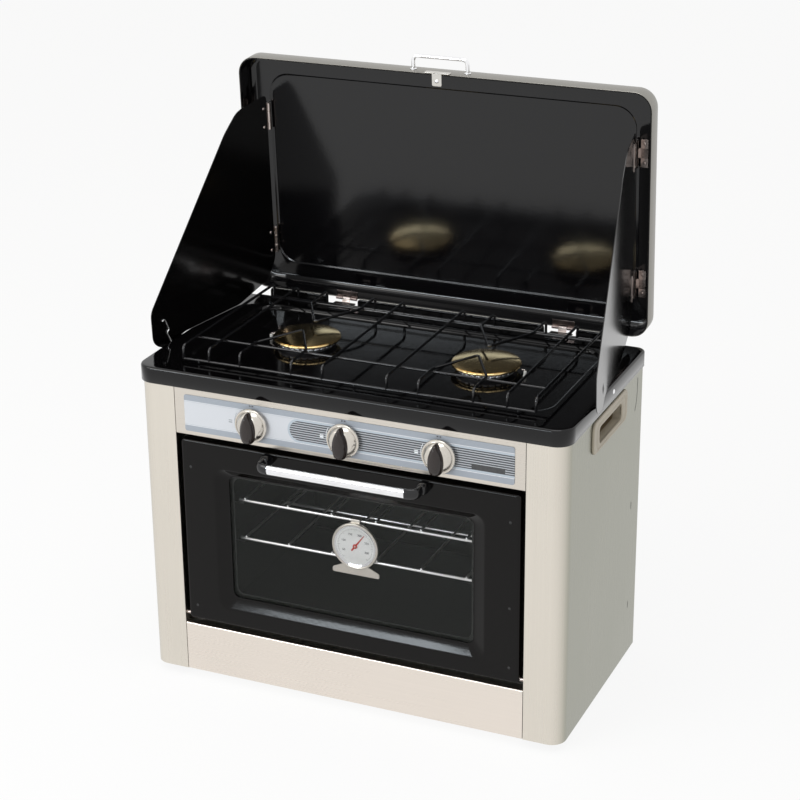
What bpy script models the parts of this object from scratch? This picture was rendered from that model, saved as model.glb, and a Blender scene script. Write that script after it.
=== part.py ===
"""Camping stove with oven, two burners, folding lid and windshields.

The model stands on the ground with +Z up, +Y to the back, and its origin in the middle of its footprint.
Every sub-part is made in the body frame: x from the middle, y back from the front face, z up from the
lower edge of the body. One empty carries that frame, and one empty stands on each joint axis.
"""
import math

import bmesh
import bpy
from mathutils import Matrix, Vector

# Clearances and sheet sizes
GAP = 0.0003
SHEET = 0.001
OVERRUN = 0.005
FOLD = 0.0177
MERGE = 0.000003
SMOOTH_ANGLE = math.radians(35.0)
QUARTER_TURN = math.pi / 2
BEND_REACH_SHARE = 0.45

# Body casing
BODY_WIDTH = 0.560
BODY_DEPTH = 0.2878
PILLAR_WIDTH = 0.050
CORNER_RADIUS = 0.019
CORNER_STEPS = 5
HALF = BODY_WIDTH / 2
SEAM = HALF - PILLAR_WIDTH
KICK_HEIGHT = 0.0671
PANEL_BOTTOM = 0.3312
FOOT_HEIGHT = 0.010
FOOT_RADIUS = 0.010
FOOT_TOP_RADIUS = 0.012
FOOT_STEP_SHARE = 0.3
FOOT_SIDES = 16
FOOT_INSET_X = 0.048
FOOT_INSET_FRONT = 0.022
FOOT_INSET_BACK = 0.030
DISH_RADIUS = 0.080
DISH_DEPTH = 0.008
DISH_CENTRE_Y = 0.105
DISH_FLAT_SHARE = 0.55
DISH_SIDES = 24
VENT_COUNT = 9
VENT_WIDTH = 0.005
VENT_LENGTH = 0.040
VENT_PITCH = 0.030
VENT_ROUND_SHARE = 0.49
VENT_ROWS_Z = (0.100, 0.290)

# Hob plate
HOB_OVERHANG = 0.003
HOB_TOP = 0.4145
HOB_SKIRT = 0.021
HOB_CORNER = 0.022
HOB_EDGE = 0.003
HOB_EDGE_STEPS = 3
HOB_LEDGE_FRONT = 0.046
HOB_LEDGE_BACK = 0.029
HOB_LEDGE_SIDE = 0.043
HOB_RECESS = 0.008
HOB_SLOPE = 0.007
HOB_RECESS_CORNER = 0.030
HOB_BEAD_INNER = 0.0500
HOB_BEAD_OUTER = 0.0590
HOB_BEAD_HEIGHT = 0.0022

# Burners
BURNER_X_SHARE = 0.43393
BURNER_X = HALF * BURNER_X_SHARE
BURNER_SIDES = 24
BURNER_Y = 0.152
BURNER_HOLE = 0.0300
BURNER_CUP_DEPTH = 0.030
BURNER_CUP_FOOT = 0.018
BURNER_FLANGE = 0.0460
BURNER_FLANGE_HEIGHT = 0.0035
BURNER_HEAD = 0.0370
BURNER_HEAD_HEIGHT = 0.0078
BURNER_PORTS = 14
BURNER_PORT_WIDTH = 0.0022
BURNER_PORT_DEPTH = 0.0040
CAP_RADIUS = 0.0435
CAP_EDGE = 0.0026
CAP_DOME = 0.0048
CAP_LIP = 0.0340
CAP_DOME_STEPS = 4
IGNITER_OFFSET = 0.0505
IGNITER_RADIUS = 0.0028
IGNITER_TOP_RADIUS = 0.0020
IGNITER_RISE = 0.0105
IGNITER_DROP = 0.016
IGNITER_SIDES = 12

# Pan support
SUPPORT_WIRE = 0.0018
SUPPORT_TOP = 0.4380
SUPPORT_FRONT = 0.0293
SUPPORT_BACK = 0.2785
SUPPORT_RAIL_Z = 0.4195
SUPPORT_MARGIN = 0.0500
SUPPORT_RAIL_HALF = HALF - SUPPORT_MARGIN
SUPPORT_CROSS = (0.0700, 0.2380)
SUPPORT_STRAIGHT_SHARES = (0.1835, 0.8487, 1.0026)
SUPPORT_FINGER_SHARES = (0.3626, 0.6652)
SUPPORT_CROSS_DROP_SHARE = 1.6
SUPPORT_BEND = 0.005
SUPPORT_BEND_STEPS = 2
FINGER_BEND_YS = (0.0720, 0.2300)
FINGER_TIP_YS = (0.1344, 0.1670)
SUPPORT_FOOT_SHARES = (-0.91, 0.0, 0.91)

# Oven
CAVITY_MARGIN = 0.058
CAVITY_HALF = SEAM - CAVITY_MARGIN
CAVITY_BOTTOM = 0.082
CAVITY_TOP = 0.318
CAVITY_DEPTH = 0.244
LINER_FLANGE_MARGIN = 0.018
LINER_FLANGE_BOTTOM = 0.058
LINER_FLANGE_TOP = 0.340
LINER_CORNER = 0.008
LINER_CORNER_STEPS = 3
LEDGE_WIDTH = 0.022
LEDGE_THICK = 0.0015
RACK_UPPER_Z = 0.2440
RACK_LOWER_Z = 0.1915
RACK_FRONT_Y = 0.0215
RACK_DEPTH = 0.228
RACK_MARGIN = 0.0155
RACK_HALF = CAVITY_HALF - RACK_MARGIN
RACK_WIRE = 0.0020
RACK_CROSS_WIRE = 0.0016
RACK_CROSS_SHARES = (0.1904, 0.5719, 0.9508)
RACK_STACK_SHARE = 1.3
RACK_ROD_SHARES = (0.0, 0.5, 1.0)
FLOOR_PLATE_Z = 0.1000
FLOOR_PLATE_INSET = 0.012
FLOOR_PLATE_LIP = 0.004
TUBE_RADIUS = 0.006
TUBE_MARGIN = 0.052
TUBE_HALF = CAVITY_HALF - TUBE_MARGIN
TUBE_SIDES = 16
TUBE_Y = 0.140
TUBE_BRACKET_WIDTH = 0.014
TUBE_BRACKET_SHARE = 0.75

# Thermometer
DIAL_X = 0.004
DIAL_Z = 0.2115
DIAL_RADIUS = 0.031
DIAL_RIM = 0.0025
DIAL_FRONT_Y = 0.0132
DIAL_THICK = 0.0045
DIAL_RECESS = 0.0020
DIAL_BASE_HALF = 0.0315
DIAL_BASE_DROP = 0.0395
DIAL_BASE_HEIGHT = 0.0100
DIAL_PIN = 0.0012
DIAL_SIDES = 32
HOOK_HALF = 0.006
HOOK_THICK = 0.0008
HOOK_TAIL = 0.0030
NEEDLE_LENGTH = 0.021
NEEDLE_TAIL = 0.008
NEEDLE_WIDTH = 0.0022
NEEDLE_HUB = 0.0032
NEEDLE_THICK = 0.0006
NEEDLE_ANGLE = math.radians(-37.0)

# Door
DOOR_SIDE_GAP = 0.0053
DOOR_HALF = SEAM - DOOR_SIDE_GAP
DOOR_LOW_GAP = 0.0079
DOOR_BOTTOM = KICK_HEIGHT + DOOR_LOW_GAP
DOOR_HIGH_GAP = 0.0067
DOOR_TOP = PANEL_BOTTOM - DOOR_HIGH_GAP
DOOR_DEPTH = 0.0160
DOOR_EDGE = 0.0015
DOOR_CORNER = 0.0040
DOOR_FRAME_SIDE = 0.0447
DOOR_FRAME_LOW = 0.0220
DOOR_FRAME_HIGH = 0.0329
DOOR_RECESS_HALF = DOOR_HALF - DOOR_FRAME_SIDE
DOOR_RECESS_BOTTOM = DOOR_BOTTOM + DOOR_FRAME_LOW
DOOR_RECESS_TOP = DOOR_TOP - DOOR_FRAME_HIGH
DOOR_RECESS_CORNER = 0.0120
WINDOW_SLOPE_SIDE = 0.0170
WINDOW_SLOPE_LOW = 0.0165
WINDOW_SLOPE_HIGH = 0.0106
WINDOW_HALF = DOOR_RECESS_HALF - WINDOW_SLOPE_SIDE
WINDOW_BOTTOM = DOOR_RECESS_BOTTOM + WINDOW_SLOPE_LOW
WINDOW_TOP = DOOR_RECESS_TOP - WINDOW_SLOPE_HIGH
WINDOW_CORNER = 0.0090
WINDOW_DEPTH = 0.0070
GLASS_MARGIN = 0.0060
GLASS_THICK = 0.0030
INNER_MARGIN = 0.0040
DOOR_AXIS_Y = 0.0060
DOOR_AXIS_RISE = 0.0045
DOOR_AXIS_Z = DOOR_BOTTOM + DOOR_AXIS_RISE
DOOR_PIN = 0.0025

# Door handle
HANDLE_BAR_SHARE = 0.4495
HANDLE_BAR_HALF = DOOR_HALF * HANDLE_BAR_SHARE
HANDLE_BEND_SHARE = 0.6
HANDLE_BEND_STEPS = 5
HANDLE_SIDES_LEVEL = 2
HANDLE_STRAIGHT_SHARE = 0.80
HANDLE_REACH = 0.0300
HANDLE_BACK_SHARE = 0.42
HANDLE_TALL = 0.0120
HANDLE_THICK = 0.0064
HANDLE_DROP = 0.0080
HANDLE_Z = DOOR_TOP - HANDLE_DROP
BRACKET_MARGIN = 0.0100
BRACKET_OUTER = HANDLE_BAR_HALF + BRACKET_MARGIN
BRACKET_WIDTH = 0.0140
BRACKET_HEIGHT = 0.0150
BRACKET_REACH = 0.0135
BRACKET_ROUND = 0.0040
BRACKET_STEPS = 3
HANDLE_SOCKET = 0.0030

# Control label and knobs
KNOB_RISE = 0.0283
KNOB_Z = PANEL_BOTTOM + KNOB_RISE
LABEL_MARGIN = 0.0134
LABEL_HALF = SEAM - LABEL_MARGIN
LABEL_BELOW_KNOB = 0.0225
LABEL_ABOVE_KNOB = 0.0255
LABEL_BOTTOM = KNOB_Z - LABEL_BELOW_KNOB
LABEL_TOP = KNOB_Z + LABEL_ABOVE_KNOB
LABEL_THICK = 0.0004
LABEL_CORNER = 0.0030
LABEL_CORNER_STEPS = 3
KNOB_X_SHARE = 0.534783
KNOB_X = SEAM * KNOB_X_SHARE
KNOB_XS = (-KNOB_X, 0.0, KNOB_X)
KNOB_SIDES = 24
KNOB_TRAVEL = 0.0030
KNOB_BEZEL = 0.0215
KNOB_BEZEL_THICK = 0.0030
KNOB_BEZEL_EDGE = 0.0009
KNOB_CONE = 0.0175
KNOB_CONE_TOP = 0.0140
KNOB_CONE_HEIGHT = 0.0060
GRIP_HEIGHT = 0.0100
GRIP_UP = 0.0165
GRIP_DOWN = 0.0130
GRIP_HALF = 0.0052
GRIP_OUTLINE_SHARES = ((0.0, 1.0), (0.45, 0.62), (0.82, 0.22), (1.0, -0.15), (0.86, -0.62), (0.45, -1.0))
SPINDLE_RADIUS = 0.0030
SPINDLE_IN = 0.0120
SPINDLE_OUT = 0.0110
PANEL_HOLE = 0.0045
VALVE_RADIUS = 0.0085
VALVE_NOSE = 0.0060
VALVE_NOSE_LENGTH = 0.0060
VALVE_LENGTH = 0.0240
MANIFOLD_RADIUS = 0.0050
MANIFOLD_END = 0.0170
MANIFOLD_LEFT = KNOB_X + MANIFOLD_END
MANIFOLD_MARGIN = 0.0500
MANIFOLD_RIGHT = HALF - MANIFOLD_MARGIN
PIPE_SIDES = 16
MANIFOLD_BEND_STEPS = 4
MANIFOLD_BEND = 0.0200
INLET_LENGTH = 0.0160
INLET_RADIUS = 0.0065
INLET_NUT = 0.0100
INLET_NUT_LENGTH = 0.0060
INLET_SIDES = 6

# Carry handles
BEZEL_Y0 = 0.0880
BEZEL_Y1 = 0.2170
BEZEL_Z0 = 0.3470
BEZEL_Z1 = 0.3890
BEZEL_CORNER = 0.0100
BEZEL_STEPS = 4
BEZEL_PROUD = 0.0025
POCKET_Y0 = 0.1125
POCKET_Y1 = 0.1970
POCKET_Z0 = 0.3540
POCKET_Z1 = 0.3760
POCKET_CORNER = 0.0060
POCKET_DEPTH = 0.0200
POCKET_WALL = 0.0015

# Lid
LID_LEAN = math.radians(3.1)
LID_PIVOT_Y = 0.3035
LID_PIVOT_Z = 0.4205
LID_MARGIN = 0.0015
LID_HALF = HALF - LID_MARGIN
LID_FRONT = 0.0030
LID_BOTTOM = -0.0010
LID_TOP = 0.3175
LID_DEPTH = 0.0323
LID_CORNER = 0.0240
LID_LOW_CORNER = 0.0120
LID_EDGE = 0.0110
LID_EDGE_STEPS = 4
LID_LEAST_CORNER = 0.0040
LID_PANEL_INSET = 0.0275
LID_PANEL_RISE = 0.0020
LID_PANEL_SLOPE = 0.0030
LID_HANDLE_HALF = 0.0365
LID_HANDLE_RISE = 0.0200
LID_HANDLE_WIRE = 0.0026
LID_HANDLE_BEND = 0.0060
LID_HANDLE_BEND_STEPS = 3
LID_HANDLE_Y = 0.0120
CATCH_HALF = 0.0168
CATCH_TAB_HALF = 0.0065
CATCH_TAB_DROP = 0.0160
CATCH_DEPTH = 0.0070
CATCH_THICK = 0.0010

# Lid hinges
LID_HINGE_SHARES = (-0.48905, 0.60036)
LID_HINGE_HALF = 0.0150
LID_HINGE_BARREL = 0.0024
LID_HINGE_LEAF = 0.0012
LID_HINGE_HOB_REACH = 0.0300
LID_HINGE_LID_RISE = 0.0095
HINGE_PIN = 0.0011
KNUCKLE_SHARE = 0.36
HINGE_SIDES = 8

# Windshields
SHIELD_MARGIN = 0.0275
SHIELD_X = LID_HALF - SHIELD_MARGIN
SHIELD_AXIS_DEPTH = 0.0250
SHIELD_SPLAY = math.radians(8.8)
SHIELD_REACH = 0.2729
SHIELD_HEIGHT = 0.2620
SHIELD_OUTLINE_SHARES = (
    (0.016, 0.0206), (0.110, 0.0180), (0.832, 0.0340), (0.982, 0.0046), (1.0, 0.197), (0.359, 0.899),
    (0.262, 0.975), (0.210, 0.987), (0.016, 1.0))
SHIELD_CORNER = 0.0100
SHIELD_CORNER_STEPS = 3
SHIELD_HINGE_ZS = (0.0600, 0.2320)
SHIELD_HINGE_HALF = 0.0180
SHIELD_BARREL = 0.0032
SHIELD_LEAF_REACH = 0.0180
SHIELD_LID_LEAF = 0.0145
SHIELD_LEAF = 0.0010

# Derived sizes
BODY_TOP = HOB_TOP - SHEET - GAP
HOB_FLOOR = HOB_TOP - HOB_RECESS
FLANGE_Y = FOLD + GAP
LID_BACK = LID_PIVOT_Y + (LID_FRONT + LID_DEPTH - LID_EDGE) * math.cos(LID_LEAN)
LID_BACK = LID_BACK - (LID_BOTTOM + LID_EDGE) * math.sin(LID_LEAN) + LID_EDGE
FRONT_REACH = HANDLE_REACH + HANDLE_THICK / 2
FRONT_Y = FRONT_REACH - (FRONT_REACH + LID_BACK) / 2

MATERIALS = {
    "stainless": ((0.78, 0.76, 0.72), 0.32, 1.0),
    "stainless_side": ((0.66, 0.67, 0.64), 0.38, 1.0),
    "enamel": ((0.02, 0.02, 0.022), 0.12, 0.0),
    "chrome": ((0.82, 0.83, 0.84), 0.12, 1.0),
    "brass": ((0.83, 0.68, 0.33), 0.30, 1.0),
    "aluminium": ((0.62, 0.63, 0.64), 0.42, 1.0),
    "ceramic": ((0.90, 0.89, 0.86), 0.25, 0.0),
    "glass": ((0.10, 0.12, 0.11), 0.06, 0.0),
    "rubber": ((0.03, 0.03, 0.03), 0.75, 0.0),
    "label": ((0.63, 0.70, 0.76), 0.40, 0.0),
    "knob": ((0.10, 0.06, 0.05), 0.20, 0.0),
    "dial": ((0.92, 0.92, 0.90), 0.45, 0.0),
    "needle": ((0.75, 0.06, 0.05), 0.40, 0.0),
    "beige": ((0.55, 0.47, 0.38), 0.55, 0.0),
    "galvanised": ((0.60, 0.61, 0.62), 0.50, 1.0),
}


def clear_scene():
    """Remove every object, so that the script can be run again."""
    for item in list(bpy.data.objects):
        bpy.data.objects.remove(item, do_unlink=True)


def material(name):
    """Principled material of one finish."""
    found = bpy.data.materials.get(name)
    if found:
        return found
    colour, roughness, metallic = MATERIALS[name]
    made = bpy.data.materials.new(name)
    made.use_nodes = True
    shader = made.node_tree.nodes["Principled BSDF"]
    shader.inputs["Base Color"].default_value = (*colour, 1.0)
    shader.inputs["Roughness"].default_value = roughness
    shader.inputs["Metallic"].default_value = metallic
    return made


def empty(name, location, parent=None, rotation=None):
    """Empty that marks a frame or a joint axis."""
    marker = bpy.data.objects.new(name, None)
    bpy.context.collection.objects.link(marker)
    marker.location = location
    if rotation:
        marker.rotation_euler = rotation
    marker.parent = parent
    return marker


def place(name, mesh, finish, parent, location=None):
    """Named object from a mesh, smooth where it is round."""
    mesh.name = name
    item = bpy.data.objects.new(name, mesh)
    bpy.context.collection.objects.link(item)
    item.parent = parent
    if location:
        item.location = location
    mesh.materials.clear()
    mesh.materials.append(material(finish))
    mesh.shade_smooth()
    mesh.set_sharp_from_angle(angle=SMOOTH_ANGLE)
    return item


def to_mesh(bm):
    """Mesh of a closed bmesh with its faces turned outwards."""
    bmesh.ops.recalc_face_normals(bm, faces=bm.faces)
    mesh = bpy.data.meshes.new("piece")
    bm.to_mesh(mesh)
    bm.free()
    return mesh


def combine(base, tools, operation):
    """Mesh of a base joined with, or cut by, each tool mesh."""
    host = bpy.data.objects.new("host", base)
    bpy.context.collection.objects.link(host)
    guests = []
    for tool in tools:
        guest = bpy.data.objects.new("tool", tool)
        bpy.context.collection.objects.link(guest)
        guest.hide_render = True
        guest.display_type = "WIRE"
        step = host.modifiers.new("combine", "BOOLEAN")
        step.solver = "EXACT"
        step.operation = operation
        step.object = guest
        guests.append(guest)
    depsgraph = bpy.context.evaluated_depsgraph_get()
    result = bpy.data.meshes.new_from_object(host.evaluated_get(depsgraph))
    for item in guests + [host]:
        bpy.data.objects.remove(item, do_unlink=True)
    return result


def join(*meshes):
    """Boolean union of meshes."""
    return combine(meshes[0], meshes[1:], "UNION")


def cut(base, *tools):
    """Boolean difference of a base and its cutters."""
    return combine(base, tools, "DIFFERENCE")


def moved(mesh, offset=(0, 0, 0), rotation=None):
    """The mesh, turned and then shifted."""
    turn = rotation.to_4x4() if rotation else Matrix.Identity(4)
    mesh.transform(Matrix.Translation(offset) @ turn)
    return mesh


def mirrored_x(points):
    """Outline mirrored to the other side."""
    return [(-x, y) for x, y in points]


def on_axis(axis, along, a, b):
    """Point at a distance along an axis, with its two other coordinates in order."""
    if axis == "x":
        return Vector((along, a, b))
    if axis == "y":
        return Vector((a, along, b))
    return Vector((a, b, along))


def prism(outline, low, high, axis):
    """Outline extruded along an axis, from low to high."""
    bm = bmesh.new()
    verts = [bm.verts.new(on_axis(axis, low, a, b)) for a, b in outline]
    face = bm.faces.new(verts)
    made = bmesh.ops.extrude_face_region(bm, geom=[face])
    raised = [item for item in made["geom"] if isinstance(item, bmesh.types.BMVert)]
    bmesh.ops.translate(bm, verts=raised, vec=on_axis(axis, high - low, 0, 0))
    return to_mesh(bm)


def block(x0, x1, y0, y1, z0, z1):
    """Box between two corners."""
    return prism([(x0, y0), (x1, y0), (x1, y1), (x0, y1)], z0, z1, "z")


def circle(cx, cy, radius, steps):
    """Outline of a circle."""
    turn = math.tau / steps
    return [(cx + radius * math.cos(i * turn), cy + radius * math.sin(i * turn)) for i in range(steps)]


def rod(axis, low, high, a, b, radius, steps=HINGE_SIDES):
    """Round rod along an axis."""
    return prism(circle(a, b, radius, steps), low, high, axis)


def rounded_rect(a0, a1, b0, b1, radius, steps=CORNER_STEPS, low_radius=None):
    """Outline of a rectangle with rounded corners; the two lower ones can differ."""
    lower = radius if low_radius is None else low_radius
    corners = ((a1 - lower, b0 + lower, -1, lower), (a1 - radius, b1 - radius, 0, radius),
               (a0 + radius, b1 - radius, 1, radius), (a0 + lower, b0 + lower, 2, lower))
    points = []
    for ca, cb, quarter, r in corners:
        for i in range(steps + 1):
            angle = QUARTER_TURN * (quarter + i / steps)
            points.append((ca + r * math.cos(angle), cb + r * math.sin(angle)))
    return points


def eased(points, radius, steps, closed=False):
    """Path whose corners are replaced by curves that start one radius away."""
    corners = [Vector(p) for p in points]
    count = len(corners)
    path = []
    for i, corner in enumerate(corners):
        if not closed and i in (0, count - 1):
            path.append(corner)
            continue
        before = corners[i - 1] - corner
        after = corners[(i + 1) % count] - corner
        start = corner + before.normalized() * min(radius, before.length * BEND_REACH_SHARE)
        end = corner + after.normalized() * min(radius, after.length * BEND_REACH_SHARE)
        for k in range(steps + 1):
            t = k / steps
            path.append(start * (1 - t) ** 2 + corner * 2 * t * (1 - t) + end * t ** 2)
    return path


def strip(path, thickness):
    """Outline of a folded sheet: a path and its copy, offset to the left of its direction."""
    points = [Vector(p) for p in path]
    runs = [after - before for before, after in zip(points, points[1:])]
    normals = [Vector((-run.y, run.x)).normalized() for run in runs]
    inner = []
    for point, before, after in zip(points, normals[:1] + normals, normals + normals[-1:]):
        middle = (before + after).normalized()
        inner.append(point + middle * (thickness / middle.dot(after)))
    outline = points + inner[::-1]
    return [(p.x, p.y) for p in outline]


def wire(path, radius, sides_level=1, closed=False):
    """Round wire along a path, made as a bevelled curve with filled ends."""
    data = bpy.data.curves.new("wire", "CURVE")
    data.dimensions = "3D"
    data.bevel_depth = radius
    data.bevel_resolution = sides_level
    data.use_fill_caps = True
    spline = data.splines.new("POLY")
    spline.points.add(len(path) - 1)
    for point, place_at in zip(spline.points, path):
        point.co = (*place_at, 1.0)
    spline.use_cyclic_u = closed
    holder = bpy.data.objects.new("wire", data)
    bpy.context.collection.objects.link(holder)
    depsgraph = bpy.context.evaluated_depsgraph_get()
    mesh = bpy.data.meshes.new_from_object(holder.evaluated_get(depsgraph))
    bpy.data.objects.remove(holder, do_unlink=True)
    bm = bmesh.new()
    bm.from_mesh(mesh)
    bmesh.ops.remove_doubles(bm, verts=bm.verts, dist=MERGE)
    return to_mesh(bm)


def lathe(profile, steps, axis="z", closed=False):
    """Profile of (radius, height) points spun round an axis."""
    bm = bmesh.new()
    verts = [bm.verts.new((r, 0, h)) for r, h in profile]
    edges = [bm.edges.new(pair) for pair in zip(verts, verts[1:])]
    if closed:
        edges.append(bm.edges.new((verts[-1], verts[0])))
    bmesh.ops.spin(bm, geom=verts + edges, cent=(0, 0, 0), axis=(0, 0, 1), angle=math.tau,
                   steps=steps, use_merge=True)
    bmesh.ops.remove_doubles(bm, verts=bm.verts, dist=MERGE)
    if axis == "y":
        bmesh.ops.rotate(bm, verts=bm.verts, cent=(0, 0, 0), matrix=Matrix.Rotation(QUARTER_TURN, 3, "X"))
    return to_mesh(bm)


def loft(rings, looped=False):
    """Skin over rings of equal count; the ends are capped, or the last ring meets the first."""
    bm = bmesh.new()
    loops = [[bm.verts.new(p) for p in ring] for ring in rings]
    pairs = list(zip(loops, loops[1:]))
    if looped:
        pairs.append((loops[-1], loops[0]))
    else:
        bm.faces.new(loops[0])
        bm.faces.new(loops[-1])
    for one, two in pairs:
        for i in range(len(one)):
            j = (i + 1) % len(one)
            bm.faces.new((one[i], one[j], two[j], two[i]))
    return to_mesh(bm)


def side_panel(name, side, frame):
    """Side sheet that wraps round the front corner and ends in the pillar's return fold."""
    front = SEAM + GAP / 2
    corner = HALF - CORNER_RADIUS
    outer = []
    for quarter, centre_y in ((-1, CORNER_RADIUS), (0, BODY_DEPTH - CORNER_RADIUS)):
        for i in range(CORNER_STEPS + 1):
            angle = QUARTER_TURN * (quarter + i / CORNER_STEPS)
            outer.append((corner + CORNER_RADIUS * math.cos(angle),
                          centre_y + CORNER_RADIUS * math.sin(angle)))
    path = [(front, FOLD), (front, 0.0)] + outer + [(corner - FOLD, BODY_DEPTH)]
    outline = strip(path, SHEET)
    if side < 0:
        outline = mirrored_x(outline)
    sheet = prism(outline, 0.0, BODY_TOP, "z")
    hole = prism(rounded_rect(POCKET_Y0 - POCKET_WALL - GAP, POCKET_Y1 + POCKET_WALL + GAP,
                              POCKET_Z0 - POCKET_WALL - GAP, POCKET_Z1 + POCKET_WALL + GAP,
                              POCKET_CORNER), side * HALF - OVERRUN, side * HALF + OVERRUN, "x")
    sheet = cut(sheet, hole)
    tip = side * (DOOR_HALF - SHEET - DOOR_EDGE)
    root = side * (front + SHEET / 2)
    pin = rod("x", min(tip, root), max(tip, root), DOOR_AXIS_Y, DOOR_AXIS_Z, DOOR_PIN)
    place(name, join(sheet, pin), "stainless_side", frame)


def folded_panel(bottom, top):
    """Front sheet with a fold back along its lower and upper edge."""
    path = [(FOLD, bottom), (0.0, bottom), (0.0, top), (FOLD, top)]
    outline = strip(path[::-1], SHEET)
    half = SEAM - GAP / 2
    return prism(outline, -half, half, "x")


def control_panel(frame):
    """Front panel of the knobs, with a hole for each spindle."""
    sheet = folded_panel(PANEL_BOTTOM, BODY_TOP)
    holes = [rod("y", -OVERRUN, OVERRUN, x, KNOB_Z, PANEL_HOLE) for x in KNOB_XS]
    place("control_panel", cut(sheet, *holes), "stainless", frame)


def control_label(frame):
    """Printed label on the control panel."""
    outline = rounded_rect(-LABEL_HALF, LABEL_HALF, LABEL_BOTTOM, LABEL_TOP, LABEL_CORNER,
                           LABEL_CORNER_STEPS)
    plate = prism(outline, -GAP - LABEL_THICK, -GAP, "y")
    holes = [rod("y", -OVERRUN, OVERRUN, x, KNOB_Z, PANEL_HOLE) for x in KNOB_XS]
    place("control_label", cut(plate, *holes), "label", frame)


def back_panel(frame):
    """Rear sheet with two rows of vent slots and the hole of the gas inlet."""
    back = BODY_DEPTH - SHEET - GAP
    half = HALF - CORNER_RADIUS
    sheet = block(-half, half, back - SHEET, back, SHEET + GAP, BODY_TOP)
    cutters = []
    for row in VENT_ROWS_Z:
        for i in range(VENT_COUNT):
            x = (i - (VENT_COUNT - 1) / 2) * VENT_PITCH
            outline = rounded_rect(x - VENT_WIDTH / 2, x + VENT_WIDTH / 2, row - VENT_LENGTH / 2,
                                   row + VENT_LENGTH / 2, VENT_WIDTH * VENT_ROUND_SHARE, 1)
            cutters.append(prism(outline, back - OVERRUN, back + OVERRUN, "y"))
    cutters.append(rod("y", back - OVERRUN, back + OVERRUN, MANIFOLD_RIGHT, KNOB_Z, INLET_RADIUS + GAP,
                       PIPE_SIDES))
    place("back_panel", cut(sheet, *cutters), "galvanised", frame)


def base_plate(frame):
    """Bottom sheet with the dish that is pressed down under the oven burner."""
    inset = SHEET + GAP
    outline = rounded_rect(inset - HALF, HALF - inset, FOLD + GAP, BODY_DEPTH - inset,
                           CORNER_RADIUS - inset, low_radius=inset)
    sheet = prism(outline, 0.0, SHEET, "z")
    flat = DISH_RADIUS * DISH_FLAT_SHARE
    outer = lathe([(0, SHEET), (DISH_RADIUS, SHEET), (DISH_RADIUS, 0), (flat, -DISH_DEPTH),
                   (0, -DISH_DEPTH)], DISH_SIDES)
    inner = lathe([(0, SHEET + OVERRUN), (DISH_RADIUS - SHEET, SHEET + OVERRUN),
                   (DISH_RADIUS - SHEET, SHEET), (flat - SHEET, SHEET - DISH_DEPTH),
                   (0, SHEET - DISH_DEPTH)], DISH_SIDES)
    for mesh in (outer, inner):
        moved(mesh, (0, DISH_CENTRE_Y, 0))
    place("base_plate", cut(join(sheet, outer), inner), "galvanised", frame)


def feet(frame):
    """Four rubber feet under the base plate."""
    profile = [(0, -GAP), (FOOT_TOP_RADIUS, -GAP), (FOOT_TOP_RADIUS, -FOOT_HEIGHT * FOOT_STEP_SHARE),
               (FOOT_RADIUS, -FOOT_HEIGHT), (0, -FOOT_HEIGHT)]
    front = FOOT_INSET_FRONT + FOOT_TOP_RADIUS
    back = BODY_DEPTH - FOOT_INSET_BACK
    number = 1
    for y in (front, back):
        for side in (-1, 1):
            place(f"foot_{number}", lathe(profile, FOOT_SIDES), "rubber", frame,
                  (side * (HALF - FOOT_INSET_X), y, 0))
            number += 1


def hob_ring(inset, z, ledge=False, extra=0.0):
    """Ring of the hob plate: inset from the rim, or from the inner edge of the ledge."""
    left = HALF + HOB_OVERHANG - inset
    front = -HOB_OVERHANG + inset
    back = BODY_DEPTH + HOB_OVERHANG - inset
    radius = HOB_CORNER - inset
    if ledge:
        left = HALF + HOB_OVERHANG - HOB_LEDGE_SIDE - extra
        front = -HOB_OVERHANG + HOB_LEDGE_FRONT + extra
        back = BODY_DEPTH + HOB_OVERHANG - HOB_LEDGE_BACK - extra
        radius = HOB_RECESS_CORNER - extra
    return [(x, y, z) for x, y in rounded_rect(-left, left, front, back, radius)]


def hob_plate(frame):
    """Pressed hob plate: rolled rim, ledge, recess, a bead round each burner, and their holes."""
    rings = []
    for wall, z_top in ((0.0, HOB_TOP), (SHEET, HOB_TOP - SHEET)):
        half = [hob_ring(wall, HOB_TOP - HOB_SKIRT)]
        for i in range(HOB_EDGE_STEPS + 1):
            angle = QUARTER_TURN * i / HOB_EDGE_STEPS
            bend = HOB_EDGE - wall
            half.append(hob_ring(wall + bend * (1 - math.cos(angle)),
                                 HOB_TOP - HOB_EDGE + bend * math.sin(angle)))
        half.append(hob_ring(0, z_top, True))
        half.append(hob_ring(0, z_top - HOB_RECESS, True, HOB_SLOPE))
        rings = half[::-1] if wall == 0.0 else rings + half
    plate = loft(rings)
    beads = []
    holes = []
    for side in (-1, 1):
        bead = lathe([(HOB_BEAD_INNER, HOB_FLOOR - SHEET / 2), (HOB_BEAD_OUTER, HOB_FLOOR - SHEET / 2),
                      (HOB_BEAD_OUTER - HOB_BEAD_HEIGHT, HOB_FLOOR + HOB_BEAD_HEIGHT),
                      (HOB_BEAD_INNER + HOB_BEAD_HEIGHT, HOB_FLOOR + HOB_BEAD_HEIGHT)], BURNER_SIDES,
                     closed=True)
        beads.append(moved(bead, (side * BURNER_X, BURNER_Y, 0)))
        holes.append(rod("z", HOB_FLOOR - OVERRUN, HOB_FLOOR + OVERRUN, side * BURNER_X, BURNER_Y,
                         BURNER_HOLE, BURNER_SIDES))
        holes.append(rod("z", HOB_FLOOR - OVERRUN, HOB_FLOOR + OVERRUN,
                         side * (BURNER_X + IGNITER_OFFSET), BURNER_Y, IGNITER_RADIUS + GAP))
    place("hob_plate", cut(join(plate, *beads), *holes), "enamel", frame)


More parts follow.
